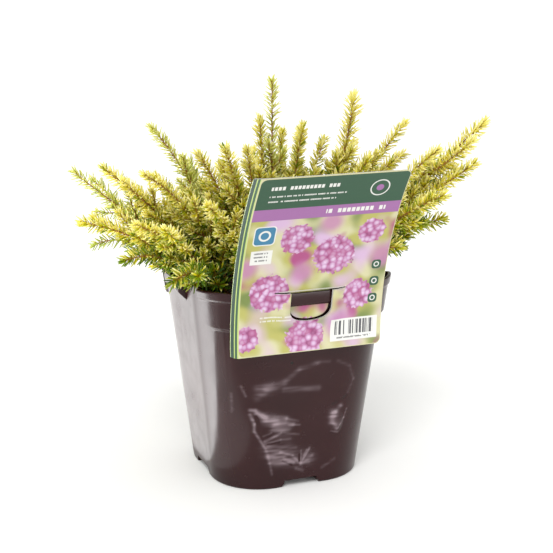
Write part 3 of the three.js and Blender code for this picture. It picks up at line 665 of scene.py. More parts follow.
def random_of(tree, cell_colour):
    """One random number of each cell, from its colour."""
    return node(tree, "ShaderNodeSeparateColor", {"Color": cell_colour}).outputs["Red"]


def ramp(tree, value, *stops):
    """The colour that a value has between stops, each a place and a light colour."""
    made = node(tree, "ShaderNodeValToRGB", {"Fac": value})
    elements = made.color_ramp.elements
    while len(elements) < len(stops):
        elements.new(0.5)
    for element, (place, rgb) in zip(elements, stops):
        element.position = place
        element.color = opaque(rgb)
    return made.outputs["Color"]


def paint(tree, under, mask, rgb):
    """One colour over another where a mask is 1."""
    over = rgb if isinstance(rgb, bpy.types.NodeSocket) else opaque(rgb)
    return node(tree, "ShaderNodeMixRGB", {"Fac": mask, "Color1": under, "Color2": over}).outputs["Color"]


def object_place(tree):
    """A point's place on the object, in metres."""
    return node(tree, "ShaderNodeTexCoord").outputs["Object"]


def kept_value(tree, name):
    """The number that keep_values has put on a point."""
    return node(tree, "ShaderNodeAttribute", attribute_name=name).outputs["Fac"]


# Pot


def pot_sizes(z):
    """Half width and corner radius at a height: both grow evenly from foot to rim."""
    share = z / POT_HEIGHT
    half = mix(FOOT_HALF_WIDTH, RIM_HALF_WIDTH, share)
    return half, mix(FOOT_CORNER_RADIUS, RIM_CORNER_RADIUS, share)


def inside_body(x, y, z, grown):
    """Whether a point lies in the pot's round-cornered square at a height, grown by a margin."""
    half, radius = pot_sizes(z)
    dx, dy = np.abs(x) - half + radius, np.abs(y) - half + radius
    past = np.hypot(np.maximum(dx, 0), np.maximum(dy, 0))
    return past + np.minimum(np.maximum(dx, dy), 0) < radius + grown


def pad_gap(z):
    """Half width of what the pads leave free on a side: wider round the pads' lower corners,
    by a quarter circle, and narrowing evenly below the pads."""
    drop = np.clip(PAD_STEP_Z + PAD_CORNER_RADIUS - z, 0, PAD_CORNER_RADIUS)
    arc = PAD_CORNER_RADIUS - np.sqrt(PAD_CORNER_RADIUS ** 2 - drop ** 2)
    below = np.clip((PAD_FOOT_Z - z) / PAD_FOOT_Z, 0, 1)
    return mix(PAD_GAP_HALF_WIDTH + arc, GAP_AT_FOOT, below)


def pot_columns(front, plain, corner):
    """Where the pot's columns stand: the side, and the place across it, which is 1 at a pad's
    edge and 2 at the corner's middle."""
    edge = 1 + PAD_EDGE_SHARE * np.array([0.0, 0.25, 0.5, 0.75, 1.0])
    pad = np.concatenate([edge, np.linspace(edge[-1], 2, corner + 1)[1:]])
    sides, places = [], []
    for side, count in enumerate([front, plain, plain, plain]):
        middle = np.linspace(-1, 1, count + 1)[1:-1]
        across = np.concatenate([-pad[::-1], middle, pad[:-1]])
        sides.append(np.full(len(across), side))
        places.append(across)
    return np.concatenate(sides), np.concatenate(places)


def pot_points(side, place, z, proud):
    """Points of the pot: on each side, out to the flat's end, then round the corner's arc, all
    pushed outwards by proud. z and proud have a row for each height."""
    half, radius = pot_sizes(z)
    straight = half - radius
    gap = pad_gap(z)
    far = straight + radius * math.sqrt(0.5)
    size = np.abs(place)
    lateral = np.where(size <= 1, size * gap, gap + (size - 1) * (far - gap))
    sine = np.clip((lateral - straight) / radius, 0, 1)
    cosine = np.sqrt(1 - sine ** 2)
    x = np.sign(place) * (lateral + sine * proud)
    y = -(straight + radius * cosine + cosine * proud)
    return np.stack([*turned_round(x, y, side * QUARTER), z + 0 * x], axis=-1)


# What was pressed into the front, all in millimetres on the wall. Creases: x and z of both
# ends, the width, and how pale it is painted: the bent plastic's pale bloom with a painted
# highlight where the crease catches the light, or, below zero, how dark a groove's painted
# shade is. Swells: x and z of the middle, half sizes across and up, and how proud.
CREASES = (
    (-37, 59, -34, 59, 0.8, 0.6), (-37, 56, -34, 49, 0.7, 0.8), (-34, 49, -34, 44, 0.6, 0.7),
    (-34, 44, -26, 30, 0.6, 0.55), (-26, 30, -23, 20, 0.8, 0.5), (-23, 20, -21, 11, 0.6, 0.4),
    (-33, 57, -27, 53, 1.2, 0.8), (-27, 52, -20, 50, 1.8, 0.9), (-29, 55, -13, 51, 1.0, 0.6),
    (-21, 48, -8, 46, 1.3, 0.55), (-22, 45, -11, 42, 1.4, 0.55), (-13, 51, -4, 48, 0.5, 0.3),
    (-11, 46, -3, 45, 0.5, 0.35), (-14, 41, -3, 38, 0.5, 0.3), (-27, 36, -16, 41, 0.7, 0.6),
    (-28, 40, -23, 42, 0.5, 0.4), (-27, 34, -16, 36, 0.5, 0.35), (-16, 36, -9, 36, 0.5, 0.35),
    (-25, 32, -5, 29, 0.8, 0.3), (-24, 30, -16, 27, 1.4, 0.35), (-16, 27, -7, 23, 0.7, 0.45),
    (-7, 23, -1, 16, 0.7, 0.5), (-24, 25, -13, 22, 1.4, 0.45), (-13, 22, -6, 18, 0.9, 0.5),
    (-21, 20, -10, 18, 1.1, 0.4), (-1, 16, 5, 27, 0.6, 0.6), (-1, 16, -1, 26, 0.4, 0.35),
    (0, 16, 7, 21, 0.9, 0.5), (0, 16, 5, 16, 0.8, 0.45), (1, 22, 3, 26, 0.4, 0.4),
    (-4, 13, 1, 11, 0.8, 0.35), (26, 55, 21, 50, 1.0, 0.8), (21, 50, 20, 45, 1.4, 1.3),
    (20, 45, 24, 39, 0.9, 0.6), (31, 52, 29, 46, 0.4, 0.5), (29, 46, 25, 40, 0.5, 0.45),
    (20, 37, 25, 36, 0.5, 0.3), (-33, 68, -28, 73, 1.6, 0.3), (-33, 75, -24, 76, 1.6, 0.26),
    (-28, 73, -15, 77, 1.5, 0.3), (-15, 77, -5, 85, 1.2, 0.27), (-5, 85, 8, 88, 1.1, 0.2),
    (6, 89, 16, 88, 0.8, 0.12), (-15, 72, 9, 70, 1.3, 0.3), (22, 88, 31, 83, 0.8, 0.14),
    (31, 83, 35, 73, 0.8, 0.14), (35, 73, 31, 64, 0.8, 0.12), (-43, 76, -40, 69, 0.5, 0.25),
    (-48, 70, -47, 57, 0.5, 0.25), (15, 11, 24, 16, 0.8, 0.2), (-2, 23, -2, 18, 0.5, -0.6),
    (20, 57, 23, 58, 0.6, -0.8), (27, 60, 30, 62, 0.5, -0.8), (-33, 55, -32, 49, 0.7, -0.3),
    (-25, 34, -17, 34, 0.4, -0.4), (-26, 39, -23, 40, 0.3, -0.3), (20, 36, 24, 33, 0.7, -0.3),
    (-14, 20, -7, 16, 0.4, -0.4), (-26, 52, -14, 48, 2.6, 0.32), (-24, 30, -8, 25, 3.6, 0.26),
    (-20, 20, -5, 18, 2.8, 0.24), (2, 21, 5, 19, 3.2, 0.3), (-31, 72, -22, 74, 2.6, 0.16),
    (21, 50, 23, 43, 2.4, 0.4), (-18, 40, -10, 37, 2.5, 0.12),
)
SWELLS = (
    (-20, 46, 14, 8, 1.2),
    (24, 44, 5, 9, 1.8),
    (-28, 69, 6, 5, 1.0),
    (14, 22, 9, 8, 0.7),
)
CREASE_HEIGHT = 0.35
CREASE_BLUR = 1.35


def front_creases(x, z):
    """How strongly the front's plastic is bent at each place. A crease is strongest on the line
    between its ends and falls off as a bell curve with the distance from it; noise drawn out
    sideways breaks it up. The same values paint the creases' pale bloom and a painted highlight
    on them, and, below zero, the grooves' painted shade."""
    x, z = np.broadcast_arrays(x / MM, z / MM)
    bent = np.zeros_like(x)
    for x0, z0, x1, z1, width, strong in CREASES:
        along = ((x - x0) * (x1 - x0) + (z - z0) * (z1 - z0)) / ((x1 - x0) ** 2 + (z1 - z0) ** 2)
        share = np.clip(along, 0, 1)
        off = np.hypot(x - mix(x0, x1, share), z - mix(z0, z1, share))
        bent += strong * np.exp(-(off / width / CREASE_BLUR) ** 2)
    streaks = value_noise(np.stack([x / 6 + z / 9, z / 1.3], axis=-1), 1, 22)
    return bent * (0.66 + 0.5 * streaks)


def front_dents(x, z):
    """How far the front stands out of its smooth shape: each crease by its strength, and each
    swell as a blunt cone."""
    proud = CREASE_HEIGHT * np.clip(front_creases(x, z), -1, 1)
    for x0, z0, wide, high, height in SWELLS:
        far = ((x / MM - x0) / wide) ** 2 + ((z / MM - z0) / high) ** 2
        proud = proud + height * np.clip(1.02 - np.sqrt(far + 0.04), 0, None)
    return proud * MM


def mark_creases(mesh):
    """Keeps on each point of the front's outside how strongly the plastic is bent there, which
    the plastic paints as a pale bloom with a painted highlight, or, below zero, as a groove's
    painted shade.
    """
    x, y, z = vectors_of(mesh.vertices, "co").T
    outside = ~inside_body(x, y, z, -1.1 * MM) & (y < 0) & (z < PAD_FOOT_Z)
    keep_values(mesh, "bent", np.where(outside, front_creases(x, z), 0))


def pot_shell(settings):
    """The pot's moulded wall as one closed skin: from the middle of the foot out, up the
    outside, over the rim, down the inside and in to the middle of the floor."""
    side, place = pot_columns(front=150, plain=36, corner=13)
    pad_share = smooth(np.abs(place), 1, 1 + PAD_EDGE_SHARE)

    def pad_rise(z):
        """How far the corner pads stand out at a height, and over them the lip."""
        pad = settings.pad_proud * smooth(z, PAD_FOOT_Z, PAD_STEP_Z)
        lip = (settings.lip_proud - settings.pad_proud) * smooth(z, LIP_FOOT_Z, LIP_STEP_Z)
        return (pad + lip) * pad_share

    outside_z = np.concatenate([
        np.array([0, 0.25, 0.55, 0.85, 1.2]) * MM,
        np.linspace(2 * MM, 90 * MM, 136),
        np.linspace(91.5 * MM, 96 * MM, 4),
        np.linspace(98 * MM, PAD_FOOT_Z - MM, 10),
        np.linspace(PAD_FOOT_Z, PAD_STEP_Z, 7),
        np.linspace(PAD_STEP_Z + MM, LIP_FOOT_Z, 12),
        np.linspace(LIP_FOOT_Z, LIP_STEP_Z, 6)[1:],
        np.linspace(LIP_STEP_Z + MM, LIP_EDGE_Z, 4),
    ])[:, None]
    bevel_share = np.clip(outside_z / FOOT_BEVEL, 0, 1)
    bevel = FOOT_BEVEL * (1 - np.sqrt(bevel_share * (2 - bevel_share)))
    outside = pad_rise(outside_z) - bevel
    x = pot_points(side, place, outside_z, outside)[..., 0]
    outside = outside + np.where(side == 0, front_dents(x, outside_z), 0)
    ripple_places = np.stack(np.broadcast_arrays(side * 0.5 + place * 0.03, outside_z), axis=-1)
    ripple = settings.ripple * value_noise(ripple_places, RIPPLE_SIZE, 3)
    outside = outside + ripple * smooth(outside_z, 0, 20 * MM)

    turn = np.linspace(0, math.pi, 8)[1:-1, None]
    rim_outer = pad_rise(np.array([[LIP_EDGE_Z]]))
    rim_inner = pad_rise(np.array([[LIP_FOOT_Z]])) - settings.wall
    rim = mix(rim_outer, rim_inner, (1 - np.cos(turn)) / 2)
    rim_z = LIP_EDGE_Z + (POT_HEIGHT - LIP_EDGE_Z) * np.sin(turn)

    inside_z = np.concatenate([
        np.linspace(LIP_EDGE_Z, PAD_STEP_Z + MM, 12),
        np.linspace(PAD_STEP_Z, PAD_FOOT_Z, 5),
        np.linspace(100 * MM, SOIL_BOTTOM_Z - 0.4 * MM, 8),
    ])[:, None]
    inside = settings.pad_proud * smooth(inside_z, PAD_FOOT_Z, PAD_STEP_Z) * pad_share - settings.wall

    z = np.concatenate([outside_z, rim_z, inside_z])
    rings = pot_points(side, place, z, np.concatenate([outside, rim, inside]))
    foot = rings[0] * FLOOR_SHARES * [1, 1, 0]
    floor = rings[-1] * [1, 1, 0] * FLOOR_SHARES[::-1] + rings[-1] * [0, 0, 1]
    rings = np.concatenate([foot, rings, floor])
    return new_piece("pot_moulded", *closed_tube(rings, (0, 0, 0), (0, 0, inside_z[-1, 0])))


def prism(name, outline, near, far, axis):
    """A closed outline, anticlockwise in (across, up), pushed along Y or along X."""
    across, up = np.asarray(outline, float).T
    rings = []
    for reach in (near, far):
        other = np.full(len(up), reach)
        rings.append(np.stack([across, other, up] if axis == "Y" else [other, across, up], axis=-1))
    if axis == "Y":
        rings.reverse()
    rings = np.stack(rings)
    return new_piece(name, *closed_tube(rings, *rings.mean(1)))


def strap(settings, side):
    """A strap's band, as a rounded section carried along a path that leaves the wall, turns
    along it and comes back. Its lower edge rises evenly with the distance from the wall."""
    centre = STRAP_PROUD - settings.strap_thickness / 2
    half = STRAP_HALF_WIDTH - STRAP_END_WALL / 2
    bend = np.linspace(0, QUARTER, 7)[1:-1]
    cheek = np.linspace(-STRAP_ROOT, centre - STRAP_BEND, 6)
    lateral = np.concatenate([np.full(6, half), half - STRAP_BEND * (1 - np.cos(bend))])
    out = np.concatenate([cheek, centre - STRAP_BEND + STRAP_BEND * np.sin(bend)])
    face = np.linspace(-(half - STRAP_BEND), half - STRAP_BEND, 22)
    lateral = np.concatenate([-lateral, face, lateral[::-1]])
    out = np.concatenate([out, np.full(22, centre), out[::-1]])
    path = np.stack([lateral, out], axis=-1)
    tangent = unit(np.gradient(path, axis=0))
    normal = np.stack([-tangent[:, 1], tangent[:, 0]], axis=-1)

    corner = np.concatenate([np.radians([0, 30, 60, 90]) + QUARTER * k for k in range(4)])
    lift = np.array([1, 1, -1, -1]).repeat(4)
    wide = settings.strap_thickness / 2 - STRAP_EDGE
    shift = np.array([1, -1, -1, 1]).repeat(4) * wide + STRAP_EDGE * np.cos(corner)
    across = path[:, None, :] + normal[:, None, :] * shift[None, :, None]
    share = (across[..., 1] + STRAP_ROOT) / (STRAP_PROUD + STRAP_ROOT)
    bottom = mix(STRAP_POINT_Z, STRAP_FRONT_FOOT_Z, share)
    z = np.where(lift > 0, STRAP_TOP_Z, bottom) + STRAP_EDGE * (np.sin(corner) - lift)
    x = across[..., 0] + STRAP_SHIFT
    y = -(pot_sizes(z)[0] + across[..., 1])
    points = np.stack([*turned_round(x, y, side * QUARTER), z], axis=-1)
    return new_piece("strap", *closed_tube(points, points[0].mean(0), points[-1].mean(0)))


def drain_places():
    """One hole in the middle, four in the channels and four between them."""
    places = [(0.0, 0.0)]
    for side in (-1, 1):
        places += [(side * DRAIN_RING, 0), (0, side * DRAIN_RING)]
        places += [(side * DRAIN_CORNER, DRAIN_CORNER), (side * DRAIN_CORNER, -DRAIN_CORNER)]
    return places


def drain_plug(x, y):
    """A round plug through the floor, which cuts a drain hole."""
    turns = np.linspace(0, 2 * math.pi, DRAIN_SIDES, endpoint=False)
    ring = np.stack([x + DRAIN_RADIUS * np.cos(turns), y + DRAIN_RADIUS * np.sin(turns)], axis=-1)
    low, high = -2 * MM, SOIL_BOTTOM_Z + MM
    rings = np.stack([np.column_stack([ring, np.full(DRAIN_SIDES, z)]) for z in (low, high)])
    return new_piece("plug", *closed_tube(rings, (x, y, low), (x, y, high)))


def plastic_material(settings):
    """Moulded polypropylene: dark, with a soft gloss that scuffs and dust break up, a faint
    ripple from the mould, specks of growing mix on it, and along the front's creases a pale
    bloom where it was bent, painted to stand also for their highlight, and painted shade in
    the grooves. Its index is under the plastic's usual 1.49, because a dusty wall mirrors less."""
    material, tree, shader = new_material("moulded_polypropylene")
    place = object_place(tree)
    tint = ramp(tree, noise(tree, place, 18.0, 4.0), (0.35, settings.shade), (0.7, settings.colour))
    specks = cells(tree, place, 95.0)
    chosen = maths(tree, "GREATER_THAN", random_of(tree, specks["Color"]), 0.94)
    dirt = maths(tree, "MULTIPLY", chosen, maths(tree, "LESS_THAN", specks["Distance"], 0.11))
    bent = kept_value(tree, "bent")
    # Painted shade: below zero, the crease value paints the grooves dark, in the specks' colour.
    painted_groove_shade = maths(tree, "MULTIPLY", bent, -1.0, use_clamp=True)
    # Painted highlight: above zero, it paints the bent plastic's pale bloom and the sheen of light along the
    # creases.
    painted_crease_sheen = node(tree, "ShaderNodeClamp", {"Value": bent}).outputs[0]
    tint = paint(tree, tint, painted_groove_shade, settings.speck_and_groove_shade)
    tint = paint(tree, tint, painted_crease_sheen, settings.stress_bloom_and_sheen)
    scuffs = noise(tree, place, 60.0, 6.0, Roughness=0.65)
    peel = noise(tree, place, 220.0, 3.0)
    bump = node(tree, "ShaderNodeBump", {"Height": peel, "Strength": 0.06, "Distance": 0.4 * MM})
    connect(tree, shader, {
        "Base Color": paint(tree, tint, dirt, settings.speck_and_groove_shade),
        "Roughness": ranged(
            tree, scuffs, 0.3, 0.75, settings.roughness - 0.05, settings.roughness + 0.12,
        ),
        "Normal": bump.outputs["Normal"],
        "IOR": 1.4,
        "Specular IOR Level": 0.4,
    })
    return material


# Growing mix


def soil_height(x, y, settings):
    """The mix's top: a low dome that falls to the wall, with lumps of three sizes."""
    places = np.stack([x, y], axis=-1)
    lumps = sum(height * value_noise(places, size, seed) for size, height, seed in SOIL_LUMPS)
    fall = smooth(np.maximum(np.abs(x), np.abs(y)), *SOIL_FALL)
    return mix(SOIL_TOP_Z, SOIL_EDGE_Z, fall) + settings.lump * lumps


def soil_block(settings):
    """The root ball's block: the pot's inside with a gap, closed by the lumpy top."""
    side, place = pot_columns(front=40, plain=40, corner=8)
    z = np.array([SOIL_BOTTOM_Z, 60 * MM, 110 * MM, SOIL_EDGE_Z - 2 * MM])[:, None]
    wall = pot_points(side, place, z, np.full((len(z), len(side)), -SOIL_INSET))
    top = wall[-1] * np.linspace(1, 0.03, 60)[:, None, None]
    top[..., 2] = soil_height(top[..., 0], top[..., 1], settings)
    rings = np.concatenate([wall[:1] * [0.5, 0.5, 1], wall, top])
    return closed_tube(rings, (0, 0, SOIL_BOTTOM_Z), (0, 0, rings[-1, :, 2].mean()))


ICOSAHEDRON_FACES = np.array([
    (0, 11, 5), (0, 5, 1), (0, 1, 7), (0, 7, 10), (0, 10, 11), (1, 5, 9), (5, 11, 4),
    (11, 10, 2), (10, 7, 6), (7, 1, 8), (3, 9, 4), (3, 4, 2), (3, 2, 6),
    (3, 6, 8), (3, 8, 9), (4, 9, 5), (2, 4, 11), (6, 2, 10),
    (8, 6, 7), (9, 8, 1),
])


def icosahedron():
    """The twelve corners of three golden rectangles that cross."""
    g = (1 + math.sqrt(5)) / 2
    corners = [
        (-1, g, 0), (1, g, 0), (-1, -g, 0), (1, -g, 0), (0, -1, g), (0, 1, g),
        (0, -1, -g), (0, 1, -g), (g, 0, -1), (g, 0, 1), (-g, 0, -1), (-g, 0, 1),
    ]
    return unit(np.array(corners, float))


def soil_crumbs(settings):
    """Crumbs of peat and bark: twenty-sided lumps, stretched and turned at random, each sunk
    by a third into the top."""
    draw = np.random.default_rng(CRUMB_SEED)
    x, y = draw.uniform(-CRUMB_FIELD, CRUMB_FIELD, (2, settings.crumbs))
    x, y = np.stack([x, y])[:, inside_body(x, y, SOIL_EDGE_Z, -CRUMB_MARGIN)]
    count = len(x)
    radius = settings.crumb * draw.uniform(0.35, 1.3, count) ** 2
    stretch = radius[:, None] * draw.uniform([0.8, 0.45, 0.35], [1.7, 1.0, 0.8], (count, 3))
    axis_a = unit(draw.normal(size=(count, 3)))
    axis_b = unit(np.cross(axis_a, draw.normal(size=(count, 3))))
    axes = np.stack([axis_a, axis_b, np.cross(axis_a, axis_b)], axis=1)
    lumps = icosahedron()[None] * (1 + 0.22 * draw.normal(size=(count, 12, 1)))
    lumps = np.einsum("nki,nij->nkj", lumps * stretch[:, None, :], axes)
    z = soil_height(x, y, settings) + 0.3 * radius
    points = lumps + np.stack([x, y, z], axis=-1)[:, None, :]
    faces = ICOSAHEDRON_FACES[None] + 12 * np.arange(count)[:, None, None]
    return points.reshape(-1, 3), faces.reshape(-1, 3)


def peat_material(settings):
    """Damp peat with bark: very rough, dark, with paler fibres and crumbs of many browns."""
    material, tree, shader = new_material("damp_peat_mix")
    place = object_place(tree)
    grain = noise(tree, place, 240.0, 8.0, Roughness=0.7)
    bump = node(tree, "ShaderNodeBump", {
        "Height": cells(tree, place, 420.0)["Distance"], "Strength": 0.7, "Distance": 0.8 * MM,
    })
    connect(tree, shader, {
        "Base Color": ramp(
            tree, grain, (0.32, settings.dark), (0.55, settings.colour), (0.72, settings.fibre),
        ),
        "Roughness": 0.92,
        "Normal": bump.outputs["Normal"],
    })
    return material


# Label


def card_front(x, z):
    """Y of the front leaf's outer face: it leans out of the upright as a power of its climb,
    with a little twist."""
    climb = np.clip((z - CARD_LEAN_FROM_Z) / (CARD_TOP_Z - CARD_LEAN_FROM_Z), 0, None)
    twist = CARD_TWIST * (x / CARD_RIGHT) * climb ** 2
    return CARD_FRONT_Y - CARD_LEAN * climb ** CARD_LEAN_POWER + twist


def card_bulge(x, z):
    """How far the card under the slit stands out round the strap: full in the middle, then
    falling as a smooth curve to both sides and to the foot."""
    across = 1 - smooth(np.abs(x - TONGUE_X), BULGE_FULL_HALF_WIDTH, BULGE_HALF_WIDTH)
    return np.where(z <= SLIT_Z, BULGE * across * smooth(z, BULGE_FOOT_Z, BULGE_FULL_Z), 0)


def climb_length(z):
    """Length up the card from its foot to a height, summed over short steps of its lean."""
    steps = np.linspace(CARD_FOOT_Z, CARD_TOP_Z, 400)
    lean = card_front(0.0, steps)
    lengths = np.concatenate([[0], np.cumsum(np.hypot(np.diff(steps), np.diff(lean)))])
    return np.interp(z, steps, lengths)


def rounded_fold(before, corner, after, reach):
    """Points round a fold: a quadratic curve that leaves both legs at the same reach."""
    start = corner + unit(before - corner) * reach
    end = corner + unit(after - corner) * reach
    t = np.linspace(0, 1, 6)[:, None]
    return start * (1 - t) ** 2 + corner * 2 * t * (1 - t) + end * t ** 2


def card_path():
    """The card's line seen from above, as (x, depth behind the front): back leaf from right to
    left, round the spine, front leaf from left to right."""
    def back_depth(x):
        """How far the back leaf lies behind the front: it nears it from the spine along a
        falling exponential."""
        return LEAF_GAP + (SPINE_DEPTH - LEAF_GAP) * np.exp((SPINE_LEFT - x) / LEAF_SPREAD)

    back_x = np.linspace(CARD_RIGHT, CARD_LEFT + 2 * MM, 60)
    back = np.stack([back_x, back_depth(back_x)], axis=-1)
    front_x = np.linspace(CARD_LEFT + MM, CARD_RIGHT, 80)
    front = np.stack([front_x, 0 * front_x], axis=-1)
    outer = np.array([SPINE_LEFT, SPINE_DEPTH])
    inner = np.array([CARD_LEFT, 0.0])
    folds = [
        rounded_fold(back[-1], outer, inner, 0.9 * MM),
        rounded_fold(outer, inner, front[0], 0.8 * MM),
    ]
    return np.concatenate([back, *folds, front])


def folded_card(settings):
    """Both leaves and the spine as one closed sheet: the path carried up the card, with a skin
    on each side of it and a narrow border all round."""
    path = card_path()
    tangent = unit(np.gradient(path, axis=0))
    normal = np.stack([tangent[:, 1], -tangent[:, 0]], axis=-1)
    z = np.concatenate([
        np.linspace(CARD_FOOT_Z, BULGE_FOOT_Z, 5),
        np.linspace(BULGE_FOOT_Z, SLIT_Z - SLIT_HEIGHT, 26)[1:],
        [SLIT_Z],
        np.linspace(SLIT_Z + SLIT_HEIGHT, CARD_TOP_Z, 44),
    ])[:, None]
    skins = []
    for sign in (1, -1):
        x, depth = (path + sign * normal * settings.thickness / 2).T
        y = card_front(x, z) - card_bulge(path[:, 0], z) + settings.thickness / 2 + depth
        skins.append(np.stack(np.broadcast_arrays(x, y, z), axis=-1))
    return new_piece("folded_card", *closed_sheet(*skins))


def foot_width(half, share):
    """Half width of a round foot at a share of its height: the full half width times one minus
    the square of one minus the root of the share."""
    return half * (1 - (1 - np.sqrt(share)) ** 2)


def round_foot(half, foot, top, steps=14):
    """An upright outline with a round foot."""
    share = np.linspace(0.004, 1, steps)
    width = foot_width(half, share)
    z = foot + FOOT_RISE * share
    right = np.stack([TONGUE_X + width, z], axis=-1)
    left = np.stack([TONGUE_X - width, z], axis=-1)
    return np.concatenate([right, [[TONGUE_X + half, top], [TONGUE_X - half, top]], left[::-1]])


def card_outline():
    """The card from the front: a rectangle whose four corners are quarter circles."""
    turns = np.linspace(0, QUARTER, 9)
    left, right = SPINE_LEFT - 2 * MM, CARD_RIGHT
    r = CARD_CORNER_RADIUS
    corners = [
        (right - r, CARD_FOOT_Z + r, -QUARTER), (right - r, CARD_TOP_Z - r, 0.0),
        (left + r, CARD_TOP_Z - r, QUARTER), (left + r, CARD_FOOT_Z + r, math.pi),
    ]
    return np.concatenate([
        np.stack([x + r * np.cos(turns + start), z + r * np.sin(turns + start)], axis=-1)
        for x, z, start in corners
    ])


def tongue(settings, depth):
    """A tongue: a sheet that leaves the card at the slit and hangs in the strap's slot, with a
    round foot. Its face follows the wall, then swings out to the card along a smooth curve."""
    z = np.concatenate([
        TONGUE_FOOT_Z + FOOT_RISE * np.linspace(0.006, 1, 14) ** 2,
        np.linspace(TONGUE_FOOT_Z + FOOT_RISE, SLIT_Z + 2 * SLIT_HEIGHT, 9)[1:],
    ])[:, None]
    share = np.clip((z - TONGUE_FOOT_Z) / FOOT_RISE, 0, 1)
    x = TONGUE_X + foot_width(TONGUE_HALF_WIDTH, share) * np.linspace(-1, 1, 12)
    in_slot = TONGUE_PLAY - pot_sizes(z)[0] - STRAP_PROUD + STRAP_THICKNESS
    swing = smooth(z, STRAP_TOP_Z - 2 * MM, SLIT_Z + SLIT_HEIGHT)
    y = mix(in_slot, card_front(x, z), swing) + depth
    skins = [np.stack(np.broadcast_arrays(x, y + far, z), axis=-1) for far in (0, settings.thickness)]
    return new_piece("tongue", *closed_sheet(*skins))


def mark_card(mesh, settings):
    """Gives each face its part of the card, from where it lies and how it looks out, and each
    corner its place on the print: x, and the length up the card."""
    x, y, z = vectors_of(mesh.polygons, "center").T
    looks_x, looks_y, _ = vectors_of(mesh.polygons, "normal").T
    behind = y - (card_front(x, z) - card_bulge(x, z))
    in_window = (np.abs(x - TONGUE_X) < TONGUE_HALF_WIDTH) & (z < SLIT_Z)
    deepest = np.where(in_window, TONGUE_DEPTH, FRONT_DEPTH)
    behind_front = behind > settings.thickness + BACK_DEPTH
    part = np.full(len(x), CARD_PARTS.index("edge"), np.int32)
    part[(looks_y < -LOOKS_OUT) & (behind < deepest)] = CARD_PARTS.index("front")
    part[(looks_y > LOOKS_OUT) & behind_front & ~in_window] = CARD_PARTS.index("back")
    part[(looks_x < -LOOKS_OUT) & (x < CARD_LEFT + SPINE_MARGIN)] = CARD_PARTS.index("spine")
    mesh.polygons.foreach_set("material_index", part)
    corners = np.zeros(len(mesh.loops), np.int32)
    mesh.loops.foreach_get("vertex_index", corners)
    x, _, z = vectors_of(mesh.vertices, "co")[corners].T
    uv = np.stack([(x - CARD_LEFT) * UV_PER_METRE, climb_length(z) * UV_PER_METRE], axis=-1)
    layer = mesh.uv_layers.new(name="print")
    layer.uv.foreach_set("vector", uv.astype(np.float32).ravel())


def print_place(tree):
    """A point's place on the print, in millimetres from the card's lower left corner."""
    uv = node(tree, "ShaderNodeUVMap", uv_map="print").outputs["UV"]
    return vector_maths(tree, "MULTIPLY", uv, (MM_PER_UV, MM_PER_UV, 0))


def rounded_panel(tree, place, x, y, wide, high, corner):
    """Where a point of the print lies in a panel with round corners, from 0 to 1: the length
    of what reaches past the panel's core, against the corner's radius."""
    fold = vector_maths(tree, "ABSOLUTE", vector_maths(tree, "SUBTRACT", place, (x, y, 0)))
    past = vector_maths(tree, "SUBTRACT", fold, (wide / 2 - corner, high / 2 - corner, 1))
    far = vector_maths(tree, "LENGTH", vector_maths(tree, "MAXIMUM", past, (0, 0, 0)))
    return ranged(tree, far, corner + INK_BLUR, corner - INK_BLUR)


def print_panels(tree, place, ink, panels, settings):
    """Prints panels over the ink before, one after another."""
    for *where, tint in panels:
        ink = paint(tree, ink, rounded_panel(tree, place, *where), getattr(settings, tint))
    return ink


def print_marks(tree, place, ink, marks, where, rgb):
    """Prints the part of some marks that lies in one panel."""
    band = rounded_panel(tree, place, *where)
    return paint(tree, ink, maths(tree, "MULTIPLY", marks, band), rgb)


def printed_blocks(tree, place, wide, row=ROW_HEIGHT):
    """Blocks that stand for print without any letters: cells of one width with a gap at one
    side, where a random draw leaves one in six bare."""
    across = vector_maths(tree, "MULTIPLY", place, (1 / wide, 1 / row, 0))
    cell = vector_maths(tree, "FLOOR", across)
    drawn = node(tree, "ShaderNodeTexWhiteNoise", {"Vector": cell}, noise_dimensions="2D").outputs["Value"]
    filled = maths(tree, "GREATER_THAN", drawn, 0.17)
    within = split(tree, vector_maths(tree, "FRACTION", across))["X"]
    return maths(tree, "MULTIPLY", filled, maths(tree, "LESS_THAN", within, 0.74))


def printed_bars(tree, place):
    """Upright bars that mean nothing: strips of one width, where a random draw inks half."""
    strips = maths(tree, "MULTIPLY", split(tree, place)["X"], 1 / BAR_WIDTH)
    strip = maths(tree, "FLOOR", strips)
    drawn = node(tree, "ShaderNodeTexWhiteNoise", {"W": strip}, noise_dimensions="1D").outputs["Value"]
    return maths(tree, "GREATER_THAN", drawn, 0.5)


def cloud(tree, place, shift, scale, low, high):
    """A soft patchy mask from 0 to 1: noise of a few blurred blots, cut between two levels."""
    blots = noise(tree, vector_maths(tree, "ADD", place, (shift, 0, 0)), scale, 1.0)
    return ranged(tree, blots, low, high, interpolation_type="SMOOTHSTEP")


def head_distance(tree, place, head):
    """How far a point lies from the middle of a round flower head, in radii of the head."""
    x, y, radius = head
    away = vector_maths(tree, "SUBTRACT", place, (x, y, 0))
    return maths(tree, "DIVIDE", vector_maths(tree, "LENGTH", away), radius)


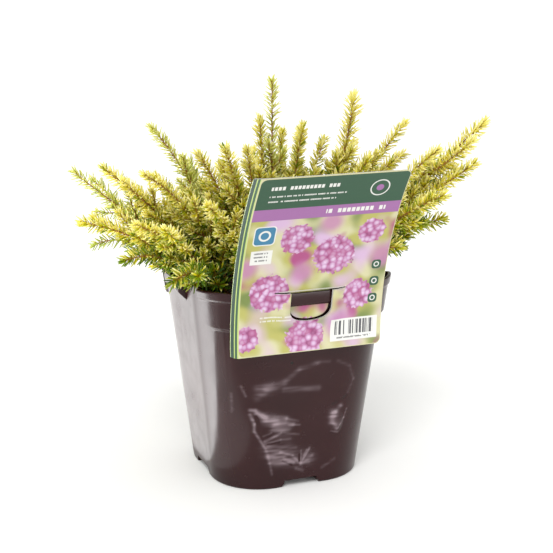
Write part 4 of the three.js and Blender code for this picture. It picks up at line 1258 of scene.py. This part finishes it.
def flower_print(tree, place, settings):
    """A blurred ground of soft blots in five tints, far flower heads as soft rounds, and near
    heads of small florets: cells of a random lattice, pale in the middle and deep at their
    seams."""
    ink = opaque(settings.straw)
    for *blot, tint in BLOTS:
        ink = paint(tree, ink, cloud(tree, place, *blot), getattr(settings, tint))
    for head in FAR_HEADS:
        far = head_distance(tree, place, head)
        soft = ranged(tree, far, 1.25, 0.35, 0.0, 0.85, interpolation_type="SMOOTHSTEP")
        ink = paint(tree, ink, soft, settings.petal)
    torn = maths(tree, "MULTIPLY", noise(tree, place, 0.4, 1.0), 0.5)
    heads = 0.0
    for head in NEAR_HEADS:
        reach = maths(tree, "ADD", head_distance(tree, place, head), torn)
        heads = maths(tree, "MAXIMUM", ranged(tree, reach, 1.2, 1.14), heads)
    florets = cells(tree, place, 0.3)
    petals = ramp(
        tree, florets["Distance"], (0.0, settings.bloom), (0.34, settings.lilac),
        (0.6, settings.petal), (0.9, settings.seam),
    )
    deep = ranged(tree, random_of(tree, florets["Color"]), 0.45, 1.0, 0.0, 0.85)
    return paint(tree, ink, heads, paint(tree, petals, deep, settings.pink))


def card_print_material(settings):
    """Coated card with a plain print: a green header with pale marks and a ring, a mauve band
    along its foot, a ground of round flower heads, a blue tag and a white one at the left,
    three small signs at the right, and a panel of upright bars that mean nothing. A soft
    varnish gloss."""
    material, tree, shader = new_material("printed_coated_card")
    place = print_place(tree)
    ink = print_panels(tree, place, flower_print(tree, place, settings), PANELS, settings)
    kinds = {
        "broad": printed_blocks(tree, place, BROAD_BLOCK, ONE_ROW),
        "broadest": printed_blocks(tree, place, BROADEST_BLOCK, ONE_ROW),
        "fine": printed_blocks(tree, place, FINE_BLOCK),
        "bars": printed_bars(tree, place),
    }
    for *where, kind, tint in MARKS:
        ink = print_marks(tree, place, ink, kinds[kind], (*where, 0.3), getattr(settings, tint))
    for y in SIGN_HEIGHTS:
        sign = [(SIGN_X, y, size, size, corner, tint) for size, corner, tint in SIGN_PANELS]
        ink = print_panels(tree, place, ink, sign, settings)
    border = rounded_panel(
        tree, place, CARD_WIDE / 2, CARD_LONG / 2 + 0.2, CARD_WIDE - 0.9, CARD_LONG - 0.6, 3.6,
    )
    gloss = noise(tree, place, 0.05, 2.0)
    connect(tree, shader, {
        "Base Color": paint(tree, opaque(settings.cream), border, ink),
        "Roughness": ranged(
            tree, gloss, 0.0, 1.0, settings.roughness - 0.06, settings.roughness + 0.08,
        ),
        "IOR": 1.5,
        "Specular IOR Level": 0.3,
    })
    return material


def card_back_material(settings):
    """The back leaf's print: green over cream, with rows of plain marks."""
    material, tree, shader = new_material("printed_card_back")
    place = print_place(tree)
    header_y = CARD_LONG - 10
    header = (CARD_WIDE / 2, header_y, CARD_WIDE + 4, 22, 0.5, "green")
    ink = print_panels(tree, place, opaque(settings.cream), [header], settings)
    title = printed_blocks(tree, place, BROAD_BLOCK, ONE_ROW)
    ink = print_marks(tree, place, ink, title, (CARD_WIDE / 2, header_y, 60, 2.6, 1.2), settings.white)
    fine = printed_blocks(tree, place, FINE_BLOCK)
    for row in range(14):
        wide = 78 - 9 * (row % 3)
        where = (10 + wide / 2, CARD_LONG - 30 - 5.2 * row, wide, 1.1, 0.5)
        ink = print_marks(tree, place, ink, fine, where, settings.print)
    connect(tree, shader, {"Base Color": ink, "Roughness": settings.roughness})
    return material


def card_spine_material(settings):
    """The spine's ink: two greens, with a pale line between them and along both folds."""
    material, tree, shader = new_material("printed_card_spine")
    ink = print_panels(tree, print_place(tree), opaque(settings.edge_green), SPINE_PANELS, settings)
    connect(tree, shader, {"Base Color": ink, "Roughness": settings.roughness})
    return material


def card_paper_material(settings):
    """The card's bare inside and its cut edge: off-white pulp with a faint mottle."""
    material, tree, shader = new_material("bare_card")
    pulp = noise(tree, object_place(tree), 300.0, 3.0)
    connect(tree, shader, {
        "Base Color": ramp(tree, pulp, (0.3, settings.pulp), (0.7, settings.white)),
        "Roughness": 0.75,
    })
    return material


# Leafy stems


def curve_points(controls, share):
    """Points at shares of a Bezier curve: neighbouring control points are mixed by the share
    until one is left."""
    share = np.asarray(share, float)[..., None]
    level = [np.asarray(control, float) for control in controls]
    while len(level) > 1:
        level = [mix(a, b, share) for a, b in zip(level, level[1:])]
    return level[0]


def curve_ways(controls, share):
    """Unit directions at shares of a Bezier curve, which are those of the curve of its
    control points' differences."""
    return unit(curve_points([b - a for a, b in zip(controls, controls[1:])], share))


def stem_line(heading, reach, height, rise):
    """A stem in the upright plane of its heading: it leaves its root steeply, bends outwards,
    and ends at its tip with the tip's rise."""
    heading, rise = math.radians(heading), math.radians(rise)
    out = np.array([math.cos(heading), math.sin(heading), 0])
    reach, height = reach * MM, height * MM
    root_reach = ROOT_NEAR + ROOT_SPREAD * reach
    root = out * root_reach + UP * ROOT_Z
    tip = out * reach + UP * height
    span = np.linalg.norm(tip - root)
    lean = LEAVE_LEAN * math.atan2(reach - root_reach, height - ROOT_Z)
    leave = out * math.sin(lean) + UP * math.cos(lean)
    arrive = out * math.cos(rise) + UP * math.sin(rise)
    return [root, root + leave * LEAVE_REACH * span, tip - arrive * ARRIVE_REACH * span, tip]


def side_line(stem, place, spread, across, span):
    """A side shoot: it leaves the stem at an angle and bends back a little to the stem's way."""
    start = curve_points(stem, place)
    along = curve_ways(stem, place)
    leave = along * math.cos(spread) + across * math.sin(spread)
    bend = start + leave * SIDE_BEND * span
    return [start, bend, bend + leave * SIDE_TIP_OUT * span + along * SIDE_TIP_ALONG * span]


def level_across(along):
    """The level direction to the right of a way, or +Y where the way is upright."""
    flat = np.stack([along[..., 1], -along[..., 0], 0 * along[..., 0]], axis=-1)
    size = np.linalg.norm(flat, axis=-1, keepdims=True)
    return np.where(size > 1e-4, flat / np.maximum(size, 1e-4), [0.0, 1.0, 0.0])


def shoots_of(tip, fullness, settings, draw):
    """All shoots of a leafy stem, as (controls, kind): the main one, its side shoots, and short
    tufts that leave it all round in a golden spiral."""
    heading, reach, height, rise, sides, _ = tip
    stem = stem_line(heading, reach, height, rise)
    span = float(np.linalg.norm(stem[-1] - stem[0]))
    shoots = [(stem, "main")]
    for place, side in zip(SIDE_PLACES, sides):
        across = level_across(curve_ways(stem, place)) * (1 if side == "R" else -1)
        shoot = side_line(stem, place, SIDE_SPREAD, across, SIDE_LENGTH * span * SIDE_STRETCH)
        shoots.append((shoot, "side"))
    count = int(settings.tufts * fullness * span / (100 * MM))
    turn = draw.uniform(0, 2 * math.pi)
    for i in range(count):
        place = mix(TUFTS_FROM, TUFTS_TO, (i + draw.uniform(0.1, 0.9)) / count)
        along = curve_ways(stem, place)
        across = level_across(along)
        over = np.cross(across, along)
        spun = turn + i * GOLDEN_ANGLE
        out = across * math.cos(spun) + over * math.sin(spun)
        size = settings.tuft_length * draw.uniform(*TUFT_SIZES)
        spread = math.radians(draw.uniform(*TUFT_SPREADS))
        shoots.append((side_line(stem, place, spread, out, size), "tuft"))
    return shoots


def wood_radius(kind, place, settings):
    """A shoot's radius at shares of its length: thinner towards its tip, by a power."""
    return settings.stem_radius * SHOOT_KINDS[kind][1] * mix(1.0, WOOD_TIP, place ** WOOD_POWER)


def wood_tube(controls, kind, settings):
    """A shoot's wood: a six-sided section carried along it."""
    stations = np.linspace(0, 1, SHOOT_KINDS[kind][2])
    centre = curve_points(controls, stations)
    along = curve_ways(controls, stations)
    across = level_across(along)
    over = np.cross(across, along)
    size = wood_radius(kind, stations, settings)
    turns = np.linspace(0, 2 * math.pi, WOOD_SIDES, endpoint=False)[None, :, None]
    ring = across[:, None] * np.cos(turns) + over[:, None] * np.sin(turns)
    rings = centre[:, None] + ring * size[:, None, None]
    return closed_tube(rings, centre[0], centre[-1] + along[-1] * size[-1], turned=True)


def needles_of(controls, kind, fullness, settings, draw):
    """Needles in whorls of four along a shoot, every whorl turned by an eighth of a turn, and
    closer, shorter and more upright at the tip. Gives each needle's root, way, the shoot's way
    there, the side it leaves on, its length and its share of the leafy part."""
    leafy = SHOOT_KINDS[kind][0]
    samples = np.linspace(0, 1, 24)
    line = curve_points(controls, samples)
    run = np.concatenate([[0], np.cumsum(np.linalg.norm(np.diff(line, axis=0), axis=-1))])
    reach = run[-1] * (1 - leafy)
    whorls = max(FEWEST_WHORLS, int(reach * fullness / settings.whorl_step))
    share = (np.arange(whorls) + 0.5) / whorls
    share = np.repeat(1 - (1 - share) ** CROWDING, WHORL)
    share = np.clip(share + draw.normal(0, PLACE_STRAY / whorls, len(share)), 0, 1)
    place = np.interp((leafy + (1 - leafy) * share) * run[-1], run, samples)
    turn = np.tile(np.arange(WHORL) * QUARTER, whorls) + np.repeat(np.arange(whorls) * QUARTER / 2, WHORL)
    turn = turn + draw.normal(0, TURN_STRAY, len(turn))
    along = curve_ways(controls, place)
    across = level_across(along)
    over = np.cross(across, along)
    side = across * np.cos(turn)[:, None] + over * np.sin(turn)[:, None]
    to_tip = smooth(share, 1 - TIP_STRETCH / reach, 1.0)
    lean = mix(settings.needle_lean, settings.tip_lean, to_tip) + draw.normal(0, LEAN_STRAY, len(turn))
    way = along * np.cos(lean)[:, None] + side * np.sin(lean)[:, None]
    way = unit(way + UP * settings.lift)
    root = curve_points(controls, place) + side * wood_radius(kind, place, settings)[:, None] * NEEDLE_SUNK
    size = settings.needle_length * draw.uniform(*NEEDLE_SIZES, len(turn))
    size = size * mix(1.0, TIP_SHORTER, to_tip) * (TUFT_SHORTER if kind == "tuft" else 1.0)
    return root, way, along, side, size, share


def needle_blades(root, way, along, side, size, settings):
    """Each needle as a three-sided blade, widest a third of the way up, bent a little towards
    the shoot's tip, and ending in a point: its points, quads and triangles."""
    wide = unit(np.cross(way, side + 1e-6))
    deep = np.cross(wide, way)
    curl = settings.needle_curl * size
    centre = root[:, None] + way[:, None] * (size[:, None] * NEEDLE_RINGS)[..., None]
    centre = centre + along[:, None] * (curl[:, None] * NEEDLE_RINGS ** 2)[..., None]
    half = settings.needle_width / 2 * NEEDLE_WIDTHS[None, :, None, None]
    ring = wide[:, None, None] * NEEDLE_CORNERS[:, :1] + deep[:, None, None] * NEEDLE_CORNERS[:, 1:]
    body = (centre[:, :, None] + ring * half).reshape(len(root), -1, 3)
    tip = root + way * size[:, None] + along * curl[:, None]
    points = np.concatenate([body, tip[:, None]], axis=1)
    last = np.arange(3) + 3 * (len(NEEDLE_RINGS) - 1)
    point = 3 * len(NEEDLE_RINGS)
    quads = grid_quads(len(NEEDLE_RINGS), 3, wrap=True)
    triangles = np.concatenate([[[0, 2, 1]], np.stack([last, np.roll(last, -1), 0 * last + point], axis=-1)])
    step = np.arange(len(root))[:, None, None] * points.shape[1]
    return points.reshape(-1, 3), (quads + step).reshape(-1, 4), (triangles + step).reshape(-1, 3)


def clear_of_holder(points):
    """Whether points keep clear of the pot's wall, the growing mix and the label."""
    x, y, z = points[..., 0], points[..., 1], points[..., 2]
    over = z > POT_HEIGHT + CLEAR_OVER_RIM
    within = inside_body(x, y, POT_HEIGHT, -CLEAR_IN_RIM) & (z > SOIL_TOP_Z)
    beside = ~inside_body(x, y, POT_HEIGHT, CLEAR_BESIDE_RIM)
    by_card = (x > SPINE_LEFT - CLEAR_OF_CARD) & (x < CARD_RIGHT + CLEAR_OF_CARD)
    by_card = by_card & (z > CARD_FOOT_Z) & (z < CARD_TOP_Z + CLEAR_OF_CARD)
    before_back = y < card_front(x, z) + SPINE_DEPTH + CLEAR_OF_CARD
    return (over | within | beside) & ~(by_card & before_back)


def needle_tones_and_light(root, way, share, kind, green, draw):
    """Each needle's tone: a start, plus what its place, its way and its stem give it, plus a
    stray of its shoot and one of its own. Its place and its way carry painted light and shade:
    high, outward and upturned needles are painted paler, as if lit, and low ones darker, as if
    shaded."""
    z = root[:, 2]
    low = 1 - smooth(z, *LOW_HEIGHTS)
    start, gain = TONE_ALONG[kind]
    # Painted light and shade: needles over the rim, away from the middle, high in the crown and turned to
    # the sky are painted paler, and low ones beside the rim darker.
    tone_and_light = TONE_START + TONE_PAINTED_LIT_OVER_RIM * smooth(z, *LIT_HEIGHTS)
    tone_and_light = tone_and_light + TONE_PAINTED_LIT_OUTSIDE * smooth(np.hypot(root[:, 0], root[:, 1]), *OUT_REACHES)
    tone_and_light = tone_and_light + (start + gain * share)
    tone_and_light = tone_and_light + TONE_PAINTED_SHADE_LOW * low + TONE_PAINTED_LIT_CROWN * smooth(z, *HIGH_HEIGHTS)
    tone_and_light = tone_and_light + TONE_GREEN * green + draw.normal(0, SHOOT_TONE_STRAY)
    tone_and_light = tone_and_light + draw.normal(0, TONE_STRAY, len(root)) * (1 + LOW_TONE_STRAY * low)
    return tone_and_light + TONE_PAINTED_SKY_LIGHT * way[:, 2]


def leafy_stem(number, tip, settings, materials):
    """One leafy stem: the wood of all its shoots and every needle, in one mesh."""
    draw = np.random.default_rng(STEM_SEED + number)
    fullness = FRESH_STEMS.get(number, 1.0)
    parts = []
    for controls, kind in shoots_of(tip, fullness, settings, draw):
        line = curve_points(controls, np.linspace(0.25, 1, 6))
        if kind != "main" and not clear_of_holder(line).all():
            continue
        wood = wood_tube(controls, kind, settings)
        parts.append((*wood, 0, np.full(len(wood[0]), WOOD_TONE), np.zeros(len(wood[0]))))
        needles = needles_of(controls, kind, fullness, settings, draw)
        root, way, along, side, size, share = needles
        size = size * LONG_NEEDLES.get(number, 1.0)
        keep = clear_of_holder(root + way * size[:, None] * NEEDLE_PROBES).all(0)
        if not keep.any():
            continue
        root, way, along, side, size, share = (a[keep] for a in (root, way, along, side, size, share))
        blades = needle_blades(root, way, along, side, size, settings)
        tone_and_light = needle_tones_and_light(root, way, share, kind, tip[5], draw).repeat(len(NEEDLE_REACH))
        parts.append((*blades, 1, tone_and_light, np.tile(NEEDLE_REACH, len(root))))
    points, quads, triangles, slots, tones, reaches = zip(*parts)
    starts = np.cumsum([0, *(len(part) for part in points[:-1])])
    quads = [faces + start for faces, start in zip(quads, starts)]
    triangles = [faces + start for faces, start in zip(triangles, starts)]
    piece = new_piece(f"heath_spray_{number:02d}", *map(np.concatenate, (points, quads, triangles)))
    keep_values(piece.data, "tone_and_light", np.concatenate(tones))
    keep_values(piece.data, "reach", np.concatenate(reaches))
    keep_values(piece.data, "fresh", np.full(len(piece.data.vertices), number in FRESH_STEMS))
    set_materials(piece, *materials)
    counts = [len(faces) for faces in (*quads, *triangles)]
    piece.data.polygons.foreach_set("material_index", np.repeat(slots * 2, counts).astype(np.int32))
    return piece


def needle_material(settings):
    """Heath needles: a thin waxy leaf with a soft gloss and some light through it. Its tone
    carries painted light and shade, golden where the sun would reach it and green where shade
    would fall; a painted bronze shade at its root, and paler at its tip, more so where it is
    painted lit."""
    material, tree, shader = new_material("waxy_heath_needle")
    tone_and_light, reach = kept_value(tree, "tone_and_light"), kept_value(tree, "reach")
    # The ramp paints the tone's light and shade: green for painted shade, gold for painted light.
    body = ramp(
        tree, tone_and_light, (0.0, settings.deep_green), (0.3, settings.green), (0.55, settings.olive),
        (0.78, settings.gold), (1.0, settings.pale_gold),
    )
    fresh = maths(tree, "MULTIPLY", kept_value(tree, "fresh"), 0.55)
    body = paint(tree, body, fresh, settings.fresh)
    # Painted shade: each needle's root is painted bronze where it crowds against the stem.
    body = paint(tree, body, ranged(tree, reach, 0.45, 0.05, 0.0, 0.75), settings.bronze)
    # The needle's own paler end, painted stronger where the tone is painted lit.
    end = ranged(tree, reach, 0.6, 0.95, 0.0, 0.55)
    pale = maths(tree, "MULTIPLY", end, ranged(tree, tone_and_light, 0.25, 0.9))
    connect(tree, shader, {
        "Base Color": paint(tree, body, pale, settings.pale_tip),
        "Roughness": 0.42,
        "Specular IOR Level": 0.2,
        "Subsurface Weight": 0.15,
        "Subsurface Radius": (0.6, 0.8, 0.15),
        "Subsurface Scale": 1.2 * MM,
    })
    return material


def bark_material(settings):
    """Young heath wood: thin bronze bark with a fine mottle, from two millimetres down to a
    quarter."""
    material, tree, shader = new_material("young_heath_bark")
    grain = noise(tree, object_place(tree), 500.0, 3.0)
    connect(tree, shader, {
        "Base Color": ramp(tree, grain, (0.35, settings.bark_dark), (0.65, settings.bark)),
        "Roughness": 0.7,
    })
    return material


# Stage


def make_floor(settings):
    """A wide flat round of pale floor, as rings about its middle."""
    turns = np.linspace(0, 2 * math.pi, FLOOR_SIDES, endpoint=False)
    x, y = FLOOR_RADII * np.cos(turns), FLOOR_RADII * np.sin(turns)
    rings = np.stack([x, y, 0 * x], axis=-1)
    points = np.concatenate([rings.reshape(-1, 3), [[0, 0, 0]]])
    quads = grid_quads(len(FLOOR_RADII), FLOOR_SIDES, wrap=True)[:, ::-1]
    floor = new_piece("floor", points, quads, fan(len(points) - 1, np.arange(FLOOR_SIDES)))
    material, tree, shader = new_material("pale_floor")
    connect(tree, shader, {"Base Color": opaque(settings.floor), "Roughness": 0.9})
    set_materials(floor, material)


def make_room(scene, settings):
    """An even white light from all round."""
    world = bpy.data.worlds.new("room")
    world.use_nodes = True
    background = world.node_tree.nodes["Background"]
    connect(world.node_tree, background, {"Color": (1, 1, 1, 1), "Strength": settings.world})
    scene.world = world


def lamp(name, power, place, kind, **settings):
    """A light that looks at the plant, with its other settings."""
    light = bpy.data.lights.new(name, kind)
    light.energy = power
    for key, value in settings.items():
        setattr(light, key, value)
    made = bpy.data.objects.new(name, light)
    bpy.context.scene.collection.objects.link(made)
    x, y, z = np.array(place) - np.array(VIEW_TARGET)
    made.location = place
    made.rotation_euler = (math.atan2(math.hypot(x, y), z), 0, math.atan2(x, -y))
    return made


def fan_glow(light):
    """Makes the near panel brighter in proportion to how far its points have turned round the
    pot's corner, up to a sharp end beside it. The round corner then mirrors it as evenly as the
    flat side does the far panel."""
    light.use_nodes = True
    tree = light.node_tree
    tree.nodes.clear()
    point = node(tree, "ShaderNodeNewGeometry").outputs["Position"]
    away = split(tree, vector_maths(tree, "SUBTRACT", point, FAN_CORNER))
    turn = maths(tree, "ARCTAN2", away["Y"], maths(tree, "MULTIPLY", away["X"], -1.0))
    rise = ranged(tree, turn, FAN_TURN, 0.0)
    end = ranged(tree, away["Y"], FAN_END_Y, FAN_END_Y + FAN_END_LENGTH, FAN_PAST_END)
    glow = node(tree, "ShaderNodeEmission", {"Strength": maths(tree, "MULTIPLY", rise, end)})
    node(tree, "ShaderNodeOutputLight", {"Surface": glow.outputs["Emission"]})


def make_lights(settings):
    """A high light at the left, a low one for the creases, and two panels for the left side."""
    lamp("key", settings.key, KEY_PLACE, "SUN", angle=KEY_SPREAD)
    wide, high = STRIP_SIZE
    strip = lamp(
        "low strip", settings.strip, STRIP_PLACE, "AREA", shape="RECTANGLE", size=wide, size_y=high,
    )
    far = lamp("far panel", settings.panel, FAR_PANEL_PLACE, "AREA", size=FAR_PANEL_SIZE)
    near = lamp("near panel", settings.near_panel, NEAR_PANEL_PLACE, "AREA", size=NEAR_PANEL_SIZE)
    fan_glow(near.data)
    for panel in (far, near):
        panel.rotation_euler = (math.pi, 0, 0)
    for made in (strip, far, near):
        made.visible_camera = False


def make_camera(scene):
    """The camera at the photo's viewpoint."""
    sight = bpy.data.cameras.new("photo_view")
    sight.lens = VIEW_LENS_MM
    sight.sensor_width = SENSOR_MM
    sight.clip_start = 0.01
    sight.clip_end = 200
    camera = bpy.data.objects.new("photo_view", sight)
    scene.collection.objects.link(camera)
    back = np.array([
        math.sin(VIEW_AZIMUTH) * math.cos(VIEW_ELEVATION),
        -math.cos(VIEW_AZIMUTH) * math.cos(VIEW_ELEVATION),
        math.sin(VIEW_ELEVATION),
    ])
    camera.location = np.array(VIEW_TARGET) + back * VIEW_DISTANCE
    camera.rotation_euler = (QUARTER - VIEW_ELEVATION, 0, VIEW_AZIMUTH)
    scene.camera = camera


# Settings


class HeathPotSettings(bpy.types.PropertyGroup):
    """Sizes and finish of the moulded pot"""

    wall: length("Wall", 1.6 * MM, "Thickness of the pot's wall")
    pad_proud: length("Corner pads", 2.6 * MM, "How far the corner pads stand out of the wall")
    lip_proud: length("Lip", 3.6 * MM, "How far the lip stands out of the wall")
    strap_thickness: length("Strap", STRAP_THICKNESS, "Thickness of the straps")
    ripple: length("Ripple", 0.12 * MM, "Depth of the wall's unevenness")
    colour: colour("Plastic", "2b0f11", "Aubergine brown of the plastic")
    shade: colour("Plastic shade", "250c0e", "Darker mottle of the plastic")
    # The specks' colour also paints the grooves' shade on the front.
    speck_and_groove_shade: colour("Specks", "1a1210", "Specks of growing mix on the wall")
    # The pale bloom of bent plastic, which also paints the creases' highlight.
    stress_bloom_and_sheen: colour("Stressed plastic", "85757a", "Pale bloom of plastic that was bent")
    roughness: factor("Roughness", 0.2, "How much the gloss is blurred")


class HeathSoilSettings(bpy.types.PropertyGroup):
    """Sizes and finish of the growing mix"""

    lump: length("Lumps", 1.1 * MM, "Height of the top's lumps")
    crumb: length("Crumbs", 1.7 * MM, "Radius of a large crumb")
    crumbs: bpy.props.IntProperty(
        name="Crumb count", description="How many crumbs lie on top", default=900, min=0,
    )
    dark: colour("Peat shade", "140e0b", "Dark of the peat")
    colour: colour("Peat", "2f2119", "Brown of the peat")
    fibre: colour("Fibre", "6b5139", "Pale fibres and bark")


class HeathLabelSettings(bpy.types.PropertyGroup):
    """Sizes and inks of the folded card"""

    thickness: length("Card", 0.6 * MM, "Thickness of the card")
    green: colour("Green", "2e4d39", "Dark green of the header and spine")
    deep_green: colour("Deep green", "1f3a30", "Deepest green of the spine")
    edge_green: colour("Edge green", "a5b866", "Pale green beside the folds")
    mauve: colour("Mauve", "8f6090", "Mauve of the header's band")
    white: colour("White", "cdcdc8", "White of the card and marks")
    pulp: colour("Pulp", "c9c6bc", "Card pulp")
    print: colour("Ink", "4a4a4e", "Dark ink of the small print")
    blue: colour("Blue", "3a718f", "Blue of the tag")
    leaf: colour("Leaf", "6b7a42", "Green of the blurred ground")
    straw: colour("Straw", "a29f58", "Yellow green of the blurred ground")
    cream: colour("Cream", "b9b690", "Pale part of the blurred ground")
    lilac: colour("Lilac", "bb9fbb", "Lilac of the ground and petals")
    pink: colour("Pink", "984873", "Strong pink of the petals")
    petal: colour("Petal", "a87198", "Middle pink of the petals")
    bloom: colour("Bloom", "cdb6cb", "Pale middle of a floret")
    seam: colour("Seam", "833f68", "Deep pink between the florets")
    roughness: factor("Roughness", 0.33, "How much the varnish blurs")


class HeathFoliageSettings(bpy.types.PropertyGroup):
    """Sizes and colours of the sprays"""

    needle_length: length("Needle length", 6.2 * MM, "Length of a needle")
    needle_width: length("Needle width", 1.16 * MM, "Width of a needle")
    needle_curl: factor("Curl", 0.2, "How far a needle bends towards the shoot's tip, by its length")
    needle_lean: angle("Lean", 66, "Angle between needle and shoot")
    tip_lean: angle("Tip lean", 38, "That angle at the shoot's tip")
    whorl_step: length("Whorl step", 1.36 * MM, "Distance between whorls of needles")
    lift: factor("Lift", 0.05, "How much needles turn up to the light")
    stem_radius: length("Stem radius", 1.05 * MM, "Radius of a stem's wood at its root")
    tuft_length: length("Tuft length", 17 * MM, "Length of the short tufts along a stem")
    tufts: factor("Tufts", 11.0, "Tufts for each 100 mm of stem", 20.0)
    # The needles' ramp by tone, from painted shade to painted light.
    deep_green: colour("Deep green", "345210", "Needles deep in the shade")
    green: colour("Green", "6a8206", "Needles in the shade")
    olive: colour("Olive", "a3a408", "Needles in half shade")
    gold: colour("Gold", "dacb22", "Needles in the sun")
    pale_gold: colour("Pale gold", "ece27e", "Needles at the sunniest tips")
    pale_tip: colour("Pale tip", "f2efc4", "The end of each needle")
    fresh: colour("Fresh green", "b3bf62", "Needles of thin pale shoots")
    # Painted shade at each needle's root, where it meets the stem.
    bronze: colour("Bronze", "8c6a08", "The root of each needle")
    bark: colour("Bark", "a76a36", "Bronze of the young wood")
    bark_dark: colour("Bark shade", "6a3d20", "Dark of the young wood")


class HeathStageSettings(bpy.types.PropertyGroup):
    """Floor and light"""

    floor: colour("Floor", "f2f2f0", "Pale floor")
    world: strength("Room", 1.0, "Brightness of the room")
    key: strength("Key", 1.5, "Strength of the high left light")
    strip: strength("Strip", 1.2, "Power of the low light that creases mirror", "POWER")
    panel: strength("Far panel", 4.7, "Power of the panel that the left side mirrors", "POWER")
    near_panel: strength("Near panel", 7.8, "Power of the panel that the left corner mirrors", "POWER")


# Operators


class HEATH_OT_pot(bpy.types.Operator):
    """Makes the moulded pot with its pads, lip, straps, channels and drain holes"""

    bl_idname = "heath.pot"
    bl_label = "Pot"

    def execute(self, context):
        settings = context.scene.heath_pot
        piece = pot_shell(settings)
        for side in range(4):
            combine(piece, strap(settings, side), "UNION")
        low, high, top = CHANNEL_HALF_WIDTH, CHANNEL_HALF_WIDTH - CHANNEL_SLOPE, CHANNEL_HEIGHT
        outline = [(-low, -MM), (low, -MM), (low, 0), (high, top), (-high, top), (-low, 0)]
        for axis in ("X", "Y"):
            combine(piece, prism("channel", outline, -RIM_HALF_WIDTH, RIM_HALF_WIDTH, axis), "DIFFERENCE")
        for x, y in drain_places():
            combine(piece, drain_plug(x, y), "DIFFERENCE")
        set_materials(piece, plastic_material(settings))
        mark_creases(piece.data)
        finish_piece(piece, "pot", "pot")
        return {"FINISHED"}


class HEATH_OT_growing_mix(bpy.types.Operator):
    """Makes the growing mix with its lumps and crumbs"""

    bl_idname = "heath.growing_mix"
    bl_label = "Growing mix"

    def execute(self, context):
        settings = context.scene.heath_soil
        block, quads, caps = soil_block(settings)
        crumbs, faces = soil_crumbs(settings)
        points = np.concatenate([block, crumbs])
        triangles = np.concatenate([caps, faces + len(block)])
        piece = new_piece("growing_mix", points, quads, triangles)
        set_materials(piece, peat_material(settings))
        finish_piece(piece, "growing_mix", "soil", sharp=math.radians(60))
        return {"FINISHED"}


class HEATH_OT_label(bpy.types.Operator):
    """Makes the folded card with its window, slit and tongues, and prints it"""

    bl_idname = "heath.label"
    bl_label = "Label"

    def execute(self, context):
        settings = context.scene.heath_label
        piece = folded_card(settings)
        reach = 2 * RIM_HALF_WIDTH
        left, right = TONGUE_X - SLIT_HALF_WIDTH, TONGUE_X + SLIT_HALF_WIDTH
        low, high = SLIT_Z - SLIT_HEIGHT, SLIT_Z + SLIT_HEIGHT / 2
        slit = [(left, low), (right, low), (right, high), (left, high)]
        window = round_foot(WINDOW_HALF_WIDTH, WINDOW_FOOT_Z, SLIT_Z)
        combine(piece, prism("outline", card_outline(), -reach, 0, "Y"), "INTERSECT")
        combine(piece, prism("window", window, -reach, 0, "Y"), "DIFFERENCE")
        combine(piece, prism("slit", slit, -reach, 0, "Y"), "DIFFERENCE")
        for depth in (0, LEAF_GAP):
            combine(piece, tongue(settings, depth), "UNION")
        materials = {
            "back": card_back_material(settings),
            "spine": card_spine_material(settings),
            "front": card_print_material(settings),
            "edge": card_paper_material(settings),
        }
        set_materials(piece, *(materials[part] for part in CARD_PARTS))
        mark_card(piece.data, settings)
        finish_piece(piece, "label_card", "label")
        return {"FINISHED"}


class HEATH_OT_leafy_stems(bpy.types.Operator):
    """Makes every leafy stem with its wood and needles"""

    bl_idname = "heath.leafy_stems"
    bl_label = "Leafy stems"

    def execute(self, context):
        settings = context.scene.heath_foliage
        materials = [bark_material(settings), needle_material(settings)]
        slots = {row["node"]: row["material_slot"] for row in frame["record"]["subparts"]}
        for number, tip in enumerate(STEM_TIPS, start=1):
            cad_node = f"leafy_stem_{number:02d}"
            piece = leafy_stem(number, tip, settings, materials)
            finish_piece(piece, slots[cad_node], cad_node, sharp=math.radians(80))
        return {"FINISHED"}


class HEATH_OT_stage(bpy.types.Operator):
    """Makes the floor, the lights and the camera at the photo's viewpoint"""

    bl_idname = "heath.stage"
    bl_label = "Stage"

    def execute(self, context):
        settings = context.scene.heath_stage
        make_floor(settings)
        make_room(context.scene, settings)
        make_lights(settings)
        context.scene.view_settings.view_transform = "Standard"
        make_camera(context.scene)
        return {"FINISHED"}


class HEATH_PT_panel(bpy.types.Panel):
    """The heath's sizes, colours and makers"""

    bl_idname = "HEATH_PT_panel"
    bl_label = "Potted heath"
    bl_space_type = "VIEW_3D"
    bl_region_type = "UI"
    bl_category = "Heath"

    def draw(self, context):
        for name, operator in PANEL_ROWS:
            box = self.layout.box()
            box.operator(operator)
            group = getattr(context.scene, name)
            for key in group.__annotations__:
                box.prop(group, key)


PANEL_ROWS = (
    ("heath_stage", "heath.stage"),
    ("heath_pot", "heath.pot"),
    ("heath_soil", "heath.growing_mix"),
    ("heath_label", "heath.label"),
    ("heath_foliage", "heath.leafy_stems"),
)

SETTINGS = {
    "heath_pot": HeathPotSettings,
    "heath_soil": HeathSoilSettings,
    "heath_label": HeathLabelSettings,
    "heath_foliage": HeathFoliageSettings,
    "heath_stage": HeathStageSettings,
}

CLASSES = (
    *SETTINGS.values(),
    HEATH_OT_stage,
    HEATH_OT_pot,
    HEATH_OT_growing_mix,
    HEATH_OT_label,
    HEATH_OT_leafy_stems,
    HEATH_PT_panel,
)


def register():
    """Registers every class and puts each group of settings on the scene."""
    for item in CLASSES:
        bpy.utils.register_class(item)
    for name, group in SETTINGS.items():
        setattr(bpy.types.Scene, name, bpy.props.PointerProperty(type=group))


def unregister():
    """Takes all of it away again."""
    for name in SETTINGS:
        delattr(bpy.types.Scene, name)
    for item in reversed(CLASSES):
        bpy.utils.unregister_class(item)


def main():
    """Makes everything through the operators."""
    register()
    bpy.ops.heath.stage()
    bpy.ops.heath.pot()
    bpy.ops.heath.growing_mix()
    bpy.ops.heath.label()
    bpy.ops.heath.leafy_stems()


if __name__ == "__main__":
    main()
